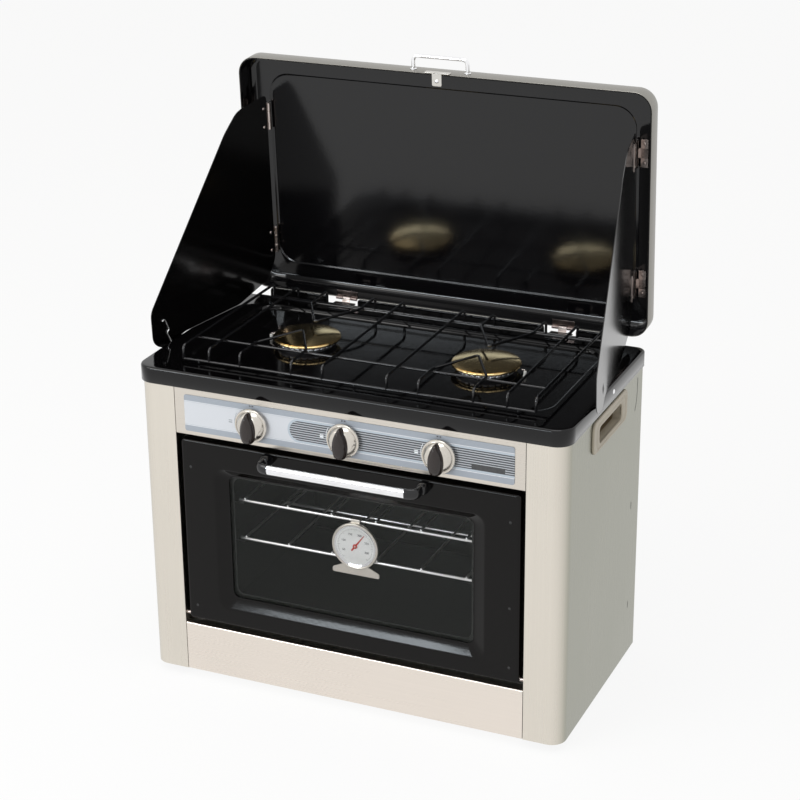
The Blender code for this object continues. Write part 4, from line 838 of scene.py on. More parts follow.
def screw(centre: tuple, axis: Axis, radius: float, rise: float) -> list[tuple[Skin, Finish]]:
    """Pan-head screw with a cross slot, standing on a surface.

    Formula: the head is a quarter ellipse turned about its axis; the slot is two thin dark bars, painted
    shade of the slot's recess.
    """
    angle = np.linspace(0, math.pi / 2, 7)
    profile = [(0, 0), (radius, 0)] + list(zip(radius * np.cos(angle), rise * (0.35 + 0.65 * np.sin(angle))))
    head = lathe(profile, centre, axis, 20)
    u, v, w = (Vector(direction) for direction in axis.value)
    parts = [(head, HINGE_STEEL)]
    for along, across in ((u, v), (v, u)):
        basis = Matrix((along, across, w)).transposed().to_4x4()
        bar = box_plate((-radius * 0.6, radius * 0.6), (-radius * 0.13, radius * 0.13), rise * 0.6,
                        rise * 1.02, radius * 0.05, radius * 0.02, Axis.Z)
        parts.append((bar.moved(Matrix.Translation(centre) @ basis), PAINTED_HOLE_SHADE_AND_BLACK))
    return parts


def rivet(centre: tuple, axis: Axis, radius: float, rise: float) -> Skin:
    """Low dome: a quarter ellipse turned about its axis."""
    angle = np.linspace(0, math.pi / 2, 6)
    return lathe([(0, 0)] + list(zip(radius * np.cos(angle), rise * np.sin(angle))), centre, axis, 16)


def lettering(text: str, height: float, thick: float) -> Skin:
    """A number as a thin solid in the xy plane, centred on the origin."""
    data = bpy.data.curves.new("number", "FONT")
    data.body = text
    data.size = height
    data.extrude = thick / 2
    data.align_x = "CENTER"
    data.align_y = "CENTER"
    holder = bpy.data.objects.new("number", data)
    bpy.context.collection.objects.link(holder)
    mesh = bpy.data.meshes.new_from_object(holder.evaluated_get(bpy.context.evaluated_depsgraph_get()))
    points = np.empty(len(mesh.vertices) * 3)
    mesh.vertices.foreach_get("co", points)
    corners = np.empty(len(mesh.loops), dtype=int)
    mesh.loops.foreach_get("vertex_index", corners)
    sizes = np.empty(len(mesh.polygons), dtype=int)
    mesh.polygons.foreach_get("loop_total", sizes)
    bpy.data.objects.remove(holder, do_unlink=True)
    return Skin(points.reshape(-1, 3), corners, sizes)


def body_place(x: float, y: float, z: float) -> Matrix:
    """Matrix to a point of the body frame."""
    return Matrix.Translation((x, y + BODY_Y, z + BODY_Z))


BODY = body_place(0, 0, 0)


def mirror(side: int) -> Matrix:
    """Matrix that keeps a shape where side is 1 and mirrors it to the left where side is -1."""
    return Matrix.Diagonal((side, 1, 1, 1))


def placed(parts: list[tuple[Skin, Finish]], matrix: Matrix) -> list[tuple[Skin, Finish]]:
    """Surfaces carried by a matrix, each with its finish."""
    return [(skin.moved(matrix), finish) for skin, finish in parts]


def coated(skins: list[Skin], matrix: Matrix, finish: Finish) -> list[tuple[Skin, Finish]]:
    """Surfaces carried by a matrix, all with one finish."""
    return [(skin.moved(matrix), finish) for skin in skins]


# Pieces
def piece(name: str, parts: list[tuple[Skin, Finish]], body: str,
          stands_for: tuple[str, ...] = (), smooth: float = 32.0) -> bpy.types.Object:
    """Make one piece of the scene.

    Args:
        name: name of the piece.
        parts: its surfaces, each with a finish.
        body: body of the model that it rides on.
        stands_for: nodes of the model that it replaces.
        smooth: angle in degrees above which an edge stays sharp.

    Returns:
        The piece.
    """
    whole = joined([skin for skin, _ in parts])
    mesh = bpy.data.meshes.new(name)
    mesh.vertices.add(len(whole.points))
    mesh.vertices.foreach_set("co", whole.points.astype(np.float32).ravel())
    mesh.loops.add(len(whole.corners))
    mesh.loops.foreach_set("vertex_index", whole.corners.astype(np.int32))
    mesh.polygons.add(len(whole.sizes))
    mesh.polygons.foreach_set("loop_start", whole.starts.astype(np.int32))
    finishes = list(dict.fromkeys(finish for _, finish in parts))
    index = np.concatenate([np.full(len(skin.sizes), finishes.index(finish)) for skin, finish in parts])
    for finish in finishes:
        mesh.materials.append(finish.material())
    mesh.polygons.foreach_set("material_index", index.astype(np.int32))
    mesh.update(calc_edges=True)
    shell = bmesh.new()
    shell.from_mesh(mesh)
    bmesh.ops.remove_doubles(shell, verts=shell.verts, dist=2e-6)
    shell.to_mesh(mesh)
    shell.free()
    mesh.shade_smooth()
    mesh.set_sharp_from_angle(angle=math.radians(smooth))
    made = bpy.data.objects.new(name, mesh)
    bpy.context.collection.objects.link(made)
    if stands_for:
        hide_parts(*stands_for)
    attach(made, body)
    LOG.info("%s: %d faces on %s", name, len(mesh.polygons), body)
    return made


def dress(node: str, finish: Finish) -> None:
    """Give a node of the model a finish."""
    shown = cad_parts[node]
    if not shown.material_slots:
        shown.data.materials.append(None)
    for place in shown.material_slots:
        place.material = finish.material()
    LOG.info("%s: %s", node, finish.name)


@dataclass
class Casing:
    """Side panels, front panels, label, feet, carry handles and the rear."""

    half: float = 0.280
    depth: float = 0.2878
    top: float = 0.4132
    seam: float = 0.230
    fold: float = 0.0177
    corner: float = 0.019
    rear_corner: float = 0.0035
    sheet: float = 0.001
    gap: float = 0.00015
    kick_top: float = 0.0671
    panel_low: float = 0.3312
    pocket_y: tuple[float, float] = (0.1125, 0.1970)
    pocket_z: tuple[float, float] = (0.3540, 0.3760)
    bezel_y: tuple[float, float] = (0.0880, 0.2170)
    bezel_z: tuple[float, float] = (0.3470, 0.3890)
    hinge_pin: tuple[float, float] = (0.0060, 0.0795)
    hold: float = 0.002
    screw_inset: float = 0.008
    flange_screw_zs: tuple[float, float] = (0.040, 0.300)

    def build(self) -> None:
        """Make the casing's pieces and dress its plain nodes."""
        for side, name in SIDES:
            self.side_panel(side, name)
            self.carry_handle(side, name)
        self.front_sheet("kick_panel", 0.0, self.kick_top)
        self.front_sheet("control_panel", self.panel_low, self.top)
        self.label()
        self.feet()
        self.rear()

    def side_panel(self, side: int, name: str) -> None:
        """Sheet that wraps from the front fold round both corners to the rear flange.

        Formula: the path runs front fold, corner arc, side, a tighter rear arc, flange. Point (s, z) lies
        on the path at s and at height z; faces inside the pocket's window are left out, and the same sheet
        moved inwards by the thickness, with its borders joined, closes it.
        """
        front = self.seam + self.gap
        arc = np.linspace(0, math.pi / 2, 13)
        turn = self.corner
        tight = self.rear_corner
        middle = self.half - turn
        first = np.stack([middle + turn * np.sin(arc), turn - turn * np.cos(arc)], 1)
        second = np.stack([self.half - tight + tight * np.cos(arc),
                           self.depth - tight + tight * np.sin(arc)], 1)
        along = (turn + self.hold, 0.05, *self.pocket_y, 0.25, self.depth - tight - self.hold)
        straight = np.array([[self.half, y] for y in along])
        lip = [(front, self.fold), (front, self.sheet * 1.5), (front + self.sheet * 0.5, 0.0),
               (middle - self.hold, 0.0)]
        path = np.concatenate([lip, first, straight, second, [(middle - self.fold, self.depth)]])
        ahead = np.gradient(path, axis=0)
        ahead = ahead / np.linalg.norm(ahead, axis=1, keepdims=True)
        inner = path + np.stack([-ahead[:, 1], ahead[:, 0]], 1) * self.sheet
        levels = np.array([0.0, 0.02, 0.12, 0.24, *self.pocket_z, self.top])
        grid = np.stack([np.concatenate([np.repeat(line[None], len(levels), 0),
                                         np.repeat(levels[:, None, None], len(line), 1)], axis=2)
                         for line in (path, inner)])
        count_z, count_s = grid.shape[1:3]
        number = np.arange(grid.shape[0] * count_z * count_s).reshape(grid.shape[:3])
        low, high = number[:, :-1, :-1], number[:, 1:, 1:]
        window = np.ones((count_z - 1, count_s - 1), dtype=bool)
        on_side = np.isclose(path[:-1, 0], self.half)
        at_s = np.flatnonzero(np.isclose(path[:-1, 1], self.pocket_y[0]) & on_side)
        at_z = np.flatnonzero(np.isclose(levels[:-1], self.pocket_z[0]))
        window[at_z[0], at_s[0]] = False
        faces = np.stack([low, number[:, :-1, 1:], high, number[:, 1:, :-1]], axis=-1)
        outer = faces[0][window].reshape(-1)
        back = faces[1][window][:, ::-1].reshape(-1)
        rim = self._rim(number, window)
        corners = np.concatenate([outer, back, rim])
        skin = Skin(grid.reshape(-1, 3), corners, np.full(len(corners) // 4, 4)).outward()
        skin = skin.moved(BODY @ mirror(side))
        # the side's darker colour in this finish is painted shade
        parts = [(skin, STEEL_PAINTED_SIDE_SHADE)]
        pin_y, pin_z = self.hinge_pin
        pin = lathe([(0, 0), (0.0025, 0), (0.0025, 0.0075), (0, 0.0075)],
                    (0, pin_y, pin_z), Axis.X, 16)
        start = side * (self.seam + 0.0007)
        parts.append((pin.moved(body_place(start, 0, 0) @ mirror(-side)), HINGE_STEEL))
        piece(f"side_panel_{name}_skin", parts, "root", (f"side_panel_{name}",), 24)
        self.press_marks(side, name)

    @staticmethod
    def _rim(points: np.ndarray, window: np.ndarray) -> np.ndarray:
        """Faces that join the outer and inner sheet along every open border.

        Formula: a border edge is one whose neighbour cell is missing. Its four corners are its two ends
        on the outer sheet and the same two on the inner sheet.
        """
        full = np.pad(window, 1)
        here = full[1:-1, 1:-1]
        outer, inner = points
        rows = []
        near, far = slice(None, -1), slice(1, None)
        ends = ((near, near), (near, far), (far, far), (far, near))
        for number, shift in enumerate(((0, 1), (1, 2), (2, 1), (1, 0))):
            first, second = ends[number], ends[(number + 1) % 4]
            beside = full[shift[0]:shift[0] + here.shape[0], shift[1]:shift[1] + here.shape[1]]
            open_edge = here & ~beside
            a, b = outer[first][open_edge], outer[second][open_edge]
            c, d = inner[second][open_edge], inner[first][open_edge]
            rows.append(np.stack([b, a, d, c], axis=-1).reshape(-1))
        return np.concatenate(rows)

    def press_marks(self, side: int, name: str) -> None:
        """Narrow slits pressed into the side near its rear edge, drawn as thin dark wires (painted shade of
        the slits), and the rear flange's screws.
        """
        parts = []
        curve = np.array([(0.2650, 0.3830), (0.2648, 0.3640), (0.2625, 0.3520), (0.2570, 0.3420)])
        for line in (eased(curve, 0.010, 5), np.array([(0.2545, 0.2080), (0.2545, 0.2170)]),
                     np.array([(0.2545, 0.0670), (0.2545, 0.0750)])):
            path = np.column_stack([np.full(len(line), self.half), line[:, 0], line[:, 1]])
            painted_slit_shade = sweep(path, circle(0.0005, 8, 0.5), (1, 0, 0), dome=0.0005)
            parts.append((painted_slit_shade.moved(BODY @ mirror(side)), PAINTED_HOLE_SHADE_AND_BLACK))
        x = self.half - self.corner - self.screw_inset
        for z in self.flange_screw_zs:
            head = screw((x, self.depth + BODY_Y, z + BODY_Z), Axis.Y, 0.0034, 0.0016)
            parts += placed(head, mirror(side))
        piece(f"side_marks_{name}", parts, "root")

    def front_sheet(self, node: str, low: float, high: float) -> None:
        """Front sheet with a fold back along both edges.

        Formula: the folded path in y and z has rounded bends; the ring is the path and its copy one
        thickness inside, and two such rings at the ends carry the surface across.
        """
        half = self.seam - self.gap
        path = eased([(self.fold, low), (0.0, low), (0.0, low + 0.004), (0.0, high - 0.004), (0.0, high),
                      (self.fold, high)], 0.0016, 5)
        ahead = np.gradient(path, axis=0)
        ahead = ahead / np.linalg.norm(ahead, axis=1, keepdims=True)
        inner = path + np.stack([ahead[:, 1], -ahead[:, 0]], 1) * self.sheet
        ring = np.concatenate([path, inner[::-1]])
        xs = np.linspace(-half, half, 3)
        rings = np.stack([np.column_stack([np.full(len(ring), x), ring]) for x in xs])
        skin = skinned(rings).moved(BODY)
        # the kick panel gets the brighter copy of the steel: painted light from the floor
        finish = STEEL_KICK_PAINTED_FLOOR_LIGHT if low == 0.0 else STEEL_FRONT
        piece(node + "_skin", [(skin, finish)], "root", (node,))

    def label(self) -> None:
        """Thin printed plate with soft corners on the control panel."""
        low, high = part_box("control_label")
        skin = box_plate((low.z, high.z), (low.x, high.x), low.y, high.y, 0.003, 0.0001, Axis.Y)
        piece("control_label_skin", [(skin, LABEL)], "root", ("control_label",))

    def feet(self) -> None:
        """Rubber feet: a turned profile with a collar, a waist and a rounded tread."""
        angle = np.linspace(0, math.pi / 2, 6)
        for number in (1, 2, 3, 4):
            low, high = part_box(f"foot_{number}")
            x, y = (low.x + high.x) / 2, (low.y + high.y) / 2
            wide = (high.x - low.x) / 2
            tread = wide - 0.002
            edge = 0.0015
            profile = [(0, high.z), (wide, high.z), (wide, high.z - 0.0028), (wide - 0.0008, high.z - 0.0034),
                       (tread + 0.0005, high.z - 0.0036)]
            profile += list(zip(tread - edge + edge * np.cos(angle), low.z + edge - edge * np.sin(angle)))
            profile += [(0.0035, low.z), (0.003, low.z + 0.0008), (0, low.z + 0.0008)]
            turned = lathe(profile, (x, y, 0), Axis.Z, 40)
            piece(f"foot_{number}_turned", [(turned, RUBBER)], "root", (f"foot_{number}",))

    def carry_handle(self, side: int, name: str) -> None:
        """Moulded bezel with a recessed pocket for the fingers.

        Formula: rings of rounded rectangles run from the panel up the bezel's rounded rim, over its flat,
        down a soft chamfer into the pocket, and back behind the pocket's wall.
        """
        by, bz = self.bezel_y, self.bezel_z
        py, pz = self.pocket_y, self.pocket_z
        centre_y, centre_z = (py[0] + py[1]) / 2, (pz[0] + pz[1]) / 2
        shift_y = (by[0] + by[1]) / 2 - centre_y
        shift_z = (bz[0] + bz[1]) / 2 - centre_z
        bezel = np.array([(by[1] - by[0]) / 2, (bz[1] - bz[0]) / 2])
        pocket = np.array([(py[1] - py[0]) / 2, (pz[1] - pz[0]) / 2])
        outer = self.half + 0.0003
        rise, rim = 0.0025, 0.0016
        angle = np.linspace(0, math.pi / 2, 5)
        rows = [(bezel, 0.010, 1.0, outer)]
        for a in angle:
            rows.append((bezel - rim * (1 - math.cos(a)), 0.010, 1.0, outer + rise - rim + rim * math.sin(a)))
        for share, sink in ((0.10, 0.0), (0.25, 0.0001), (0.40, 0.0009), (0.46, 0.0009), (0.60, 0.0003),
                            (0.85, 0.0004), (1.0, 0.0014)):
            size = (bezel - rim) * (1 - share) + pocket * share
            rows.append((size, 0.010 - 0.004 * share, 1 - share, outer + (rise - sink)))
        deep = 0.0200
        rows += [(pocket, 0.0060, 0.0, outer - deep * 0.5),
                 (pocket - 0.0002, 0.0058, 0.0, outer - deep + 0.003)]
        for a in angle[1:]:
            rows.append((pocket - 0.0002 - 0.003 * (1 - math.cos(a)), 0.0058, 0.0,
                         outer - deep + 0.003 - 0.003 * math.sin(a)))
        cut = len(rows) - 6
        wall = 0.0015
        rows += [(pocket - 0.006, 0.003, 0.0, outer - deep),
                 (pocket - 0.006, 0.003, 0.0, outer - deep - wall),
                 (pocket + wall, 0.0070, 0.0, outer - deep - wall),
                 (pocket + wall, 0.0070, 0.0, outer - 0.0002)]
        rings = []
        for size, radius, share, depth in rows:
            ring = rounded_rings(size[0], size[1], radius, 8)[0]
            ring = ring + (centre_y + shift_y * share, centre_z + shift_z * share)
            rings.append(np.column_stack([np.full(len(ring), depth), ring]))
        whole = skinned(np.stack(rings), looped=True)
        seat = BODY @ mirror(side)
        around = len(rings[0])
        # the pocket's deep rows take the darker beige: painted shade in the recess
        painted_shade_face = np.zeros(len(whole.sizes), dtype=bool)
        painted_shade_face[cut * around:(cut + 8) * around] = True
        quads = whole.corners.reshape(-1, 4)
        parts = [(Skin(whole.points, quads[chosen].reshape(-1), whole.sizes[chosen]).moved(seat), finish)
                 for chosen, finish in ((~painted_shade_face, BEIGE), (painted_shade_face, BEIGE_PAINTED_SHADE))]
        piece(f"carry_handle_{name}_moulding", parts, "root", (f"carry_handle_{name}",), 40)

    def rear(self) -> None:
        """Dress the rear and underside, and add the rear's screws."""
        for node in ("back_panel", "base_plate", "gas_manifold"):
            dress(node, ZINC)
        for number in (1, 2, 3):
            dress(f"valve_{number}", BRASS_FITTING)
            dress(f"valve_spindle_{number}", BRASS_FITTING)
        parts = []
        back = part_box("back_panel")[1].y
        for x in (-0.205, 0.0, 0.205):
            for z in (0.020, 0.400):
                parts += screw((x, back, z + BODY_Z), Axis.Y, 0.0032, 0.0008)
        piece("rear_screws", parts, "root")


@dataclass
class Hob:
    """Pressed hob plate, burners, igniters and the pan support."""

    half: float = 0.283
    front: float = -0.003
    back: float = 0.2908
    top: float = 0.4145
    skirt: float = 0.021
    edge: float = 0.003
    corner: float = 0.022
    recess_half: float = 0.240
    recess_front: float = 0.043
    recess_back: float = 0.2618
    recess_corner: float = 0.030
    recess: float = 0.008
    slope: float = 0.007
    burner_x: float = 0.1215
    burner_y: float = 0.152
    rear_corner: float = 0.012
    bay_x: tuple[float, float] = (0.0190, 0.2290)
    bay_y: tuple[float, float] = (0.0540, 0.2520)
    bay_corner: float = 0.034
    bay_slope: float = 0.006
    bay_depth: float = 0.0026
    dish_outer: float = 0.0900
    dish_inner: float = 0.0842
    dish_depth: float = 0.0030
    collar_outer: float = 0.0570
    collar_slope: float = 0.0050
    head_ports: int = 28
    cap_ports: int = 48
    upstand: tuple[float, float] = (0.4000, 0.4256)
    upstand_runs: tuple = ((-0.2430, -0.1575), (-0.1150, 0.1460), (0.1885, 0.2430))
    wire: float = 0.0018
    support_top: float = 0.4380
    rail_z: float = 0.4195
    rail_half: float = 0.230
    ends: tuple[float, float] = (0.0293, 0.2785)
    straight_xs: tuple[float, ...] = (0.0422, 0.1952, 0.2306)
    finger_xs: tuple[float, float] = (0.0834, 0.1530)
    bend_ys: tuple[float, float] = (0.0720, 0.2300)
    tip_ys: tuple[float, float] = (0.1344, 0.1670)
    cross_ys: tuple[float, float] = (0.0700, 0.2380)

    def build(self) -> None:
        """Make every piece of the hob."""
        self.pressed_plate()
        for side, name in SIDES:
            self.burner(side, name)
            self.cap(side, name)
            self.igniter(side, name)
        self.pan_support()
        self.fastenings()

    def relief(self, x: np.ndarray, y: np.ndarray) -> np.ndarray:
        """Height of the recess floor's pressing at each point.

        Formula: each burner stands in a bay, a rounded rectangle with an eased step of the bay's depth at
        its border. The floor outside the bays lies 0.55 of that depth above the level nought, and the
        bays 0.45 below it. A round dish sinks further, eased between its two radii, and its middle rises
        again by nine tenths of its depth to carry the burner.
        """
        side_x = np.abs(x)
        low, high = self.bay_x
        near, far = self.bay_y
        round_off = self.bay_corner
        out_x = np.abs(side_x - (low + high) / 2) - (high - low) / 2 + round_off
        out_y = np.abs(y - (near + far) / 2) - (far - near) / 2 + round_off
        beyond = np.hypot(np.maximum(out_x, 0), np.maximum(out_y, 0))
        distance = beyond + np.minimum(np.maximum(out_x, out_y), 0)
        bay = gentle(np.clip((round_off - distance) / self.bay_slope, 0, 1))
        out = np.hypot(side_x - self.burner_x, y - self.burner_y)
        sunk = gentle(np.clip((self.dish_outer - out) / (self.dish_outer - self.dish_inner), 0, 1))
        raised = gentle(np.clip((self.collar_outer - out) / self.collar_slope, 0, 1))
        return self.bay_depth * (0.55 - bay) - self.dish_depth * sunk + self.dish_depth * raised * 0.9

    def pressed_plate(self) -> None:
        """Rim, ledge, recess and floor as one surface of rings, and the upstand behind the rear edge.

        Formula: rings are rounded rectangles. From a cap under the plate they run down inside the skirt,
        round its lower edge, up the skirt, over the rolled edge, across the ledge, down the eased slope,
        and then inwards over the floor, whose height is the relief at each point, to the middle. The rear
        corners are tighter than the front ones at the rim, and as round as they are at the floor. The
        upstand is three rounded bars.
        """
        half_x, half_y, middle, radius, height, on_floor = [], [], [], [], [], []

        def ring(hx: float, y0: float, y1: float, r: float, z: float, floor: bool = False) -> None:
            """Note one ring."""
            half_x.append(hx)
            half_y.append((y1 - y0) / 2)
            middle.append((y0 + y1) / 2)
            radius.append(max(r, LEAST_RADIUS))
            height.append(z)
            on_floor.append(floor)

        def rim(inward: float, z: float) -> None:
            """Ring at a distance inside the rim."""
            ring(self.half - inward, self.front + inward, self.back - inward, self.corner - inward, z)

        sheet = 0.001
        low = self.top - self.skirt
        rim(sheet, self.top - 0.004)
        rim(sheet, low + 0.0004)
        rim(sheet * 0.5, low)
        rim(0.0, low + 0.0005)
        for a in np.linspace(0, math.pi / 2, 7):
            rim(self.edge * (1 - math.cos(a)), self.top - self.edge * (1 - math.sin(a)))
        for share in np.linspace(0.1, 0.97, 9):
            ring(self.half - self.edge + (self.recess_half - self.half + self.edge) * share,
                 self.front + self.edge + (self.recess_front - self.front - self.edge) * share,
                 self.back - self.edge + (self.recess_back - self.back + self.edge) * share,
                 self.corner - self.edge + (self.recess_corner - self.corner + self.edge) * share, self.top)
        for t in np.linspace(0, 1, 12):
            ring(self.recess_half - self.slope * t, self.recess_front + self.slope * t,
                 self.recess_back - self.slope * t, self.recess_corner - self.slope * t,
                 self.top - self.recess * gentle(t))
        reach = (self.recess_back - self.recess_front) / 2 - self.slope
        for inward in np.linspace(0, reach, 92)[1:]:
            ring(self.recess_half - self.slope - inward, self.recess_front + self.slope + inward,
                 self.recess_back - self.slope - inward,
                 min(self.recess_corner - self.slope, reach - inward), self.top - self.recess, True)
        half_a, half_b, turn = np.array(half_x), np.array(half_y), np.array(radius)
        share = np.clip((half_b - reach) / ((self.back - self.front) / 2 - reach), 0, 1)
        tight = np.maximum(turn - (self.corner - self.rear_corner) * share, LEAST_RADIUS)
        flat = rounded_rings(half_a, half_b, turn, 12, (250, 116))
        rear = rounded_rings(half_a, half_b, tight, 12, (250, 116))
        flat = np.where(flat[..., 1:] >= 0, rear, flat)
        x = flat[..., 0]
        y = flat[..., 1] + np.array(middle)[:, None]
        z = np.repeat(np.array(height)[:, None], x.shape[1], 1)
        z = z + self.relief(x, y) * np.array(on_floor)[:, None]
        skins = [skinned(np.stack([x, y, z], axis=-1))]
        for low_x, high_x in self.upstand_runs:
            skins.append(box_plate(self.upstand, (low_x, high_x), self.back - 0.0004, self.back + 0.0020,
                                   0.004, 0.0011, Axis.Y))
        skin = joined(skins).moved(BODY)
        piece("hob_pressing", [(skin, ENAMEL_BLACK)], "root", ("hob_plate",), 50)

    def burner(self, side: int, name: str) -> None:
        """Dark seat on the floor, bright collar and slotted cast head.

        Formula: the seat and the collar are turned profiles. The head's radius is its outer radius less a
        port depth wherever the cosine of the port count times the angle is above a bound, over part of
        its height.
        """
        centre = (side * self.burner_x, self.burner_y + BODY_Y, BODY_Z)
        floor = self.top - self.recess + 0.0002
        seat = lathe([(0, floor - 0.0295), (0.018, floor - 0.0295), (0.0290, floor - 0.005), (0.0290, floor),
                      (0.0470, floor), (0.0474, floor + 0.0008), (0.0462, floor + 0.0016),
                      (0.0400, floor + 0.0020), (0, floor + 0.0020)], centre, Axis.Z, 96)
        collar = lathe([(0, floor + 0.0018), (0.0322, floor + 0.0018), (0.0326, floor + 0.0030),
                        (0.0350, floor + 0.0066), (0.0362, floor + 0.0076), (0.0366, floor + 0.0084),
                        (0, floor + 0.0084)], centre, Axis.Z, 96)
        sides = self.head_ports * 12
        angle = np.arange(sides) * math.tau / sides
        port = np.clip(np.cos(self.head_ports * angle) * 2.2 - 0.9, 0, 1)
        heights = np.array([0.0078, 0.0082, 0.0086, 0.0108, 0.0113, 0.0113])
        radii = np.array([0.0360, 0.0372, 0.0374, 0.0370, 0.0364, 0.0])
        depths = np.array([0.0, 0.0, 0.0034, 0.0034, 0.0034, 0.0])
        reach = radii[:, None] - depths[:, None] * port
        rings = np.stack([centre[0] + reach * np.cos(angle), centre[1] + reach * np.sin(angle),
                          np.repeat((floor + BODY_Z + heights)[:, None], sides, 1)], axis=-1)
        parts = [(seat, ENAMEL_BLACK), (collar, ALUMINIUM), (skinned(rings), ALUMINIUM)]
        piece(f"burner_{name}_body", parts, "root", (f"burner_{name}",))

    def cap(self, side: int, name: str) -> None:
        """Domed brass cap with a rolled rim and a row of ports round it, painted as dark discs: painted shade
        of the holes.

        Formula: above the rim the height grows by dome (1 - (r / R)^2)^0.8 towards the middle. The ports
        are small discs in equal steps round the rim.
        """
        low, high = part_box(f"burner_cap_{name}")
        centre = ((low.x + high.x) / 2, (low.y + high.y) / 2, 0)
        radius = (high.x - low.x) / 2
        rim = 0.0019
        angle = np.linspace(-math.pi / 2, math.pi / 2, 11)
        profile = [(0, low.z), (radius - 0.009, low.z), (radius - 0.0085, low.z + 0.0003)]
        profile += list(zip(radius - rim + rim * np.cos(angle), low.z + 0.0003 + rim * (1 + np.sin(angle))))
        share = np.linspace(0.96, 0, 18)
        dome = high.z - low.z - 0.0003 - 2 * rim
        profile += list(zip(radius * share, low.z + 0.0003 + 2 * rim + dome * (1 - share ** 2) ** 0.8))
        parts = [(lathe(profile, centre, Axis.Z, 112), BRASS)]
        dot = lathe([(0, 0), (0.00075, 0), (0.00075, 0.0004), (0, 0.0004)],
                    (0, 0, radius - 0.00035), Axis.Z, 10)
        # each port is a small dark disc: painted shade of its hole
        for turn in np.arange(self.cap_ports) * math.tau / self.cap_ports:
            place = (Matrix.Translation((*centre[:2], low.z + 0.0019)) @ Matrix.Rotation(turn, 4, "Z")
                     @ Matrix.Rotation(math.pi / 2, 4, "Y"))
            parts.append((dot.moved(place), PAINTED_HOLE_SHADE_AND_BLACK))
        piece(f"burner_cap_{name}_turned", parts, f"cap_{name}", (f"burner_cap_{name}",), 40)

    def igniter(self, side: int, name: str) -> None:
        """Ceramic igniter with a shouldered tip and a thin electrode."""
        low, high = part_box(f"igniter_{name}")
        centre = ((low.x + high.x) / 2, (low.y + high.y) / 2, 0)
        wide = (high.x - low.x) / 2
        top = high.z
        body = lathe([(0, low.z), (wide, low.z), (wide, top - 0.0060), (wide - 0.0003, top - 0.0050),
                      (0.0021, top - 0.0044), (0.0020, top - 0.0006), (0.0015, top), (0, top)],
                     centre, Axis.Z, 32)
        collar = lathe([(0.0020, top - 0.0100), (wide + 0.0009, top - 0.0100), (wide + 0.0009, top - 0.0088),
                        (0.0020, top - 0.0084)], centre, Axis.Z, 32, looped=True)
        reach = -side * 0.0045
        rod = wire(eased([(centre[0], centre[1], top - 0.001), (centre[0], centre[1], top + 0.0016),
                          (centre[0] + reach, centre[1], top + 0.0016)], 0.0012, 5), 0.00055, 10)
        piece(f"igniter_{name}_rod", [(body, CERAMIC), (collar, HINGE_STEEL), (rod, HINGE_STEEL)],
              "root", (f"igniter_{name}",))

    def pan_support(self) -> None:
        """Welded wires: straight ones, V fingers, rails, cross rods and feet."""
        top = self.support_top - self.wire
        front, back = self.ends
        skins = []
        for side in (-1, 1):
            for x in self.straight_xs:
                path = [(side * x, front, self.rail_z), (side * x, front, top), (side * x, back, top),
                        (side * x, back, self.rail_z)]
                skins.append(wire(eased(path, 0.0062, 8), self.wire, 14))
            inner, outer = self.finger_xs
            for end, bend, tip in zip(self.ends, self.bend_ys, self.tip_ys):
                path = [(side * inner, end, self.rail_z), (side * inner, end, top), (side * inner, bend, top),
                        (side * (inner + outer) / 2, tip, top), (side * outer, bend, top),
                        (side * outer, end, top), (side * outer, end, self.rail_z)]
                skins.append(wire(eased(path, 0.0062, 8), self.wire, 14))
        rods = []
        rail = self.rail_half
        for y in self.ends:
            rods.append(((-rail, y, self.rail_z), (rail, y, self.rail_z)))
            for x in (-0.91 * rail, 0.0, 0.91 * rail):
                rods.append(((x, y, self.rail_z), (x, y, self.top + 0.0012)))
        reach = self.straight_xs[-1]
        rods += [((-reach, y, top - 0.0029), (reach, y, top - 0.0029)) for y in self.cross_ys]
        skins += [wire(np.array(rod), self.wire, 14) for rod in rods]
        skin = joined(skins).moved(BODY)
        piece("pan_support_wires", [(skin, ENAMEL_WIRE)], "support", ("pan_support",), 60)

    def fastenings(self) -> None:
        """Small screw in the floor and the rivet on each side of the rim."""
        top = self.top - self.recess + BODY_Z
        parts = screw((0.030, 0.122 + BODY_Y, top), Axis.Z, 0.0030, 0.0014)
        for side in (-1, 1):
            spot = rivet((self.half, 0.158 + BODY_Y, 0.405 + BODY_Z), Axis.X, 0.0030, 0.0012)
            parts.append((spot.moved(mirror(side)), CHROME))
        piece("hob_fastenings", parts, "root")


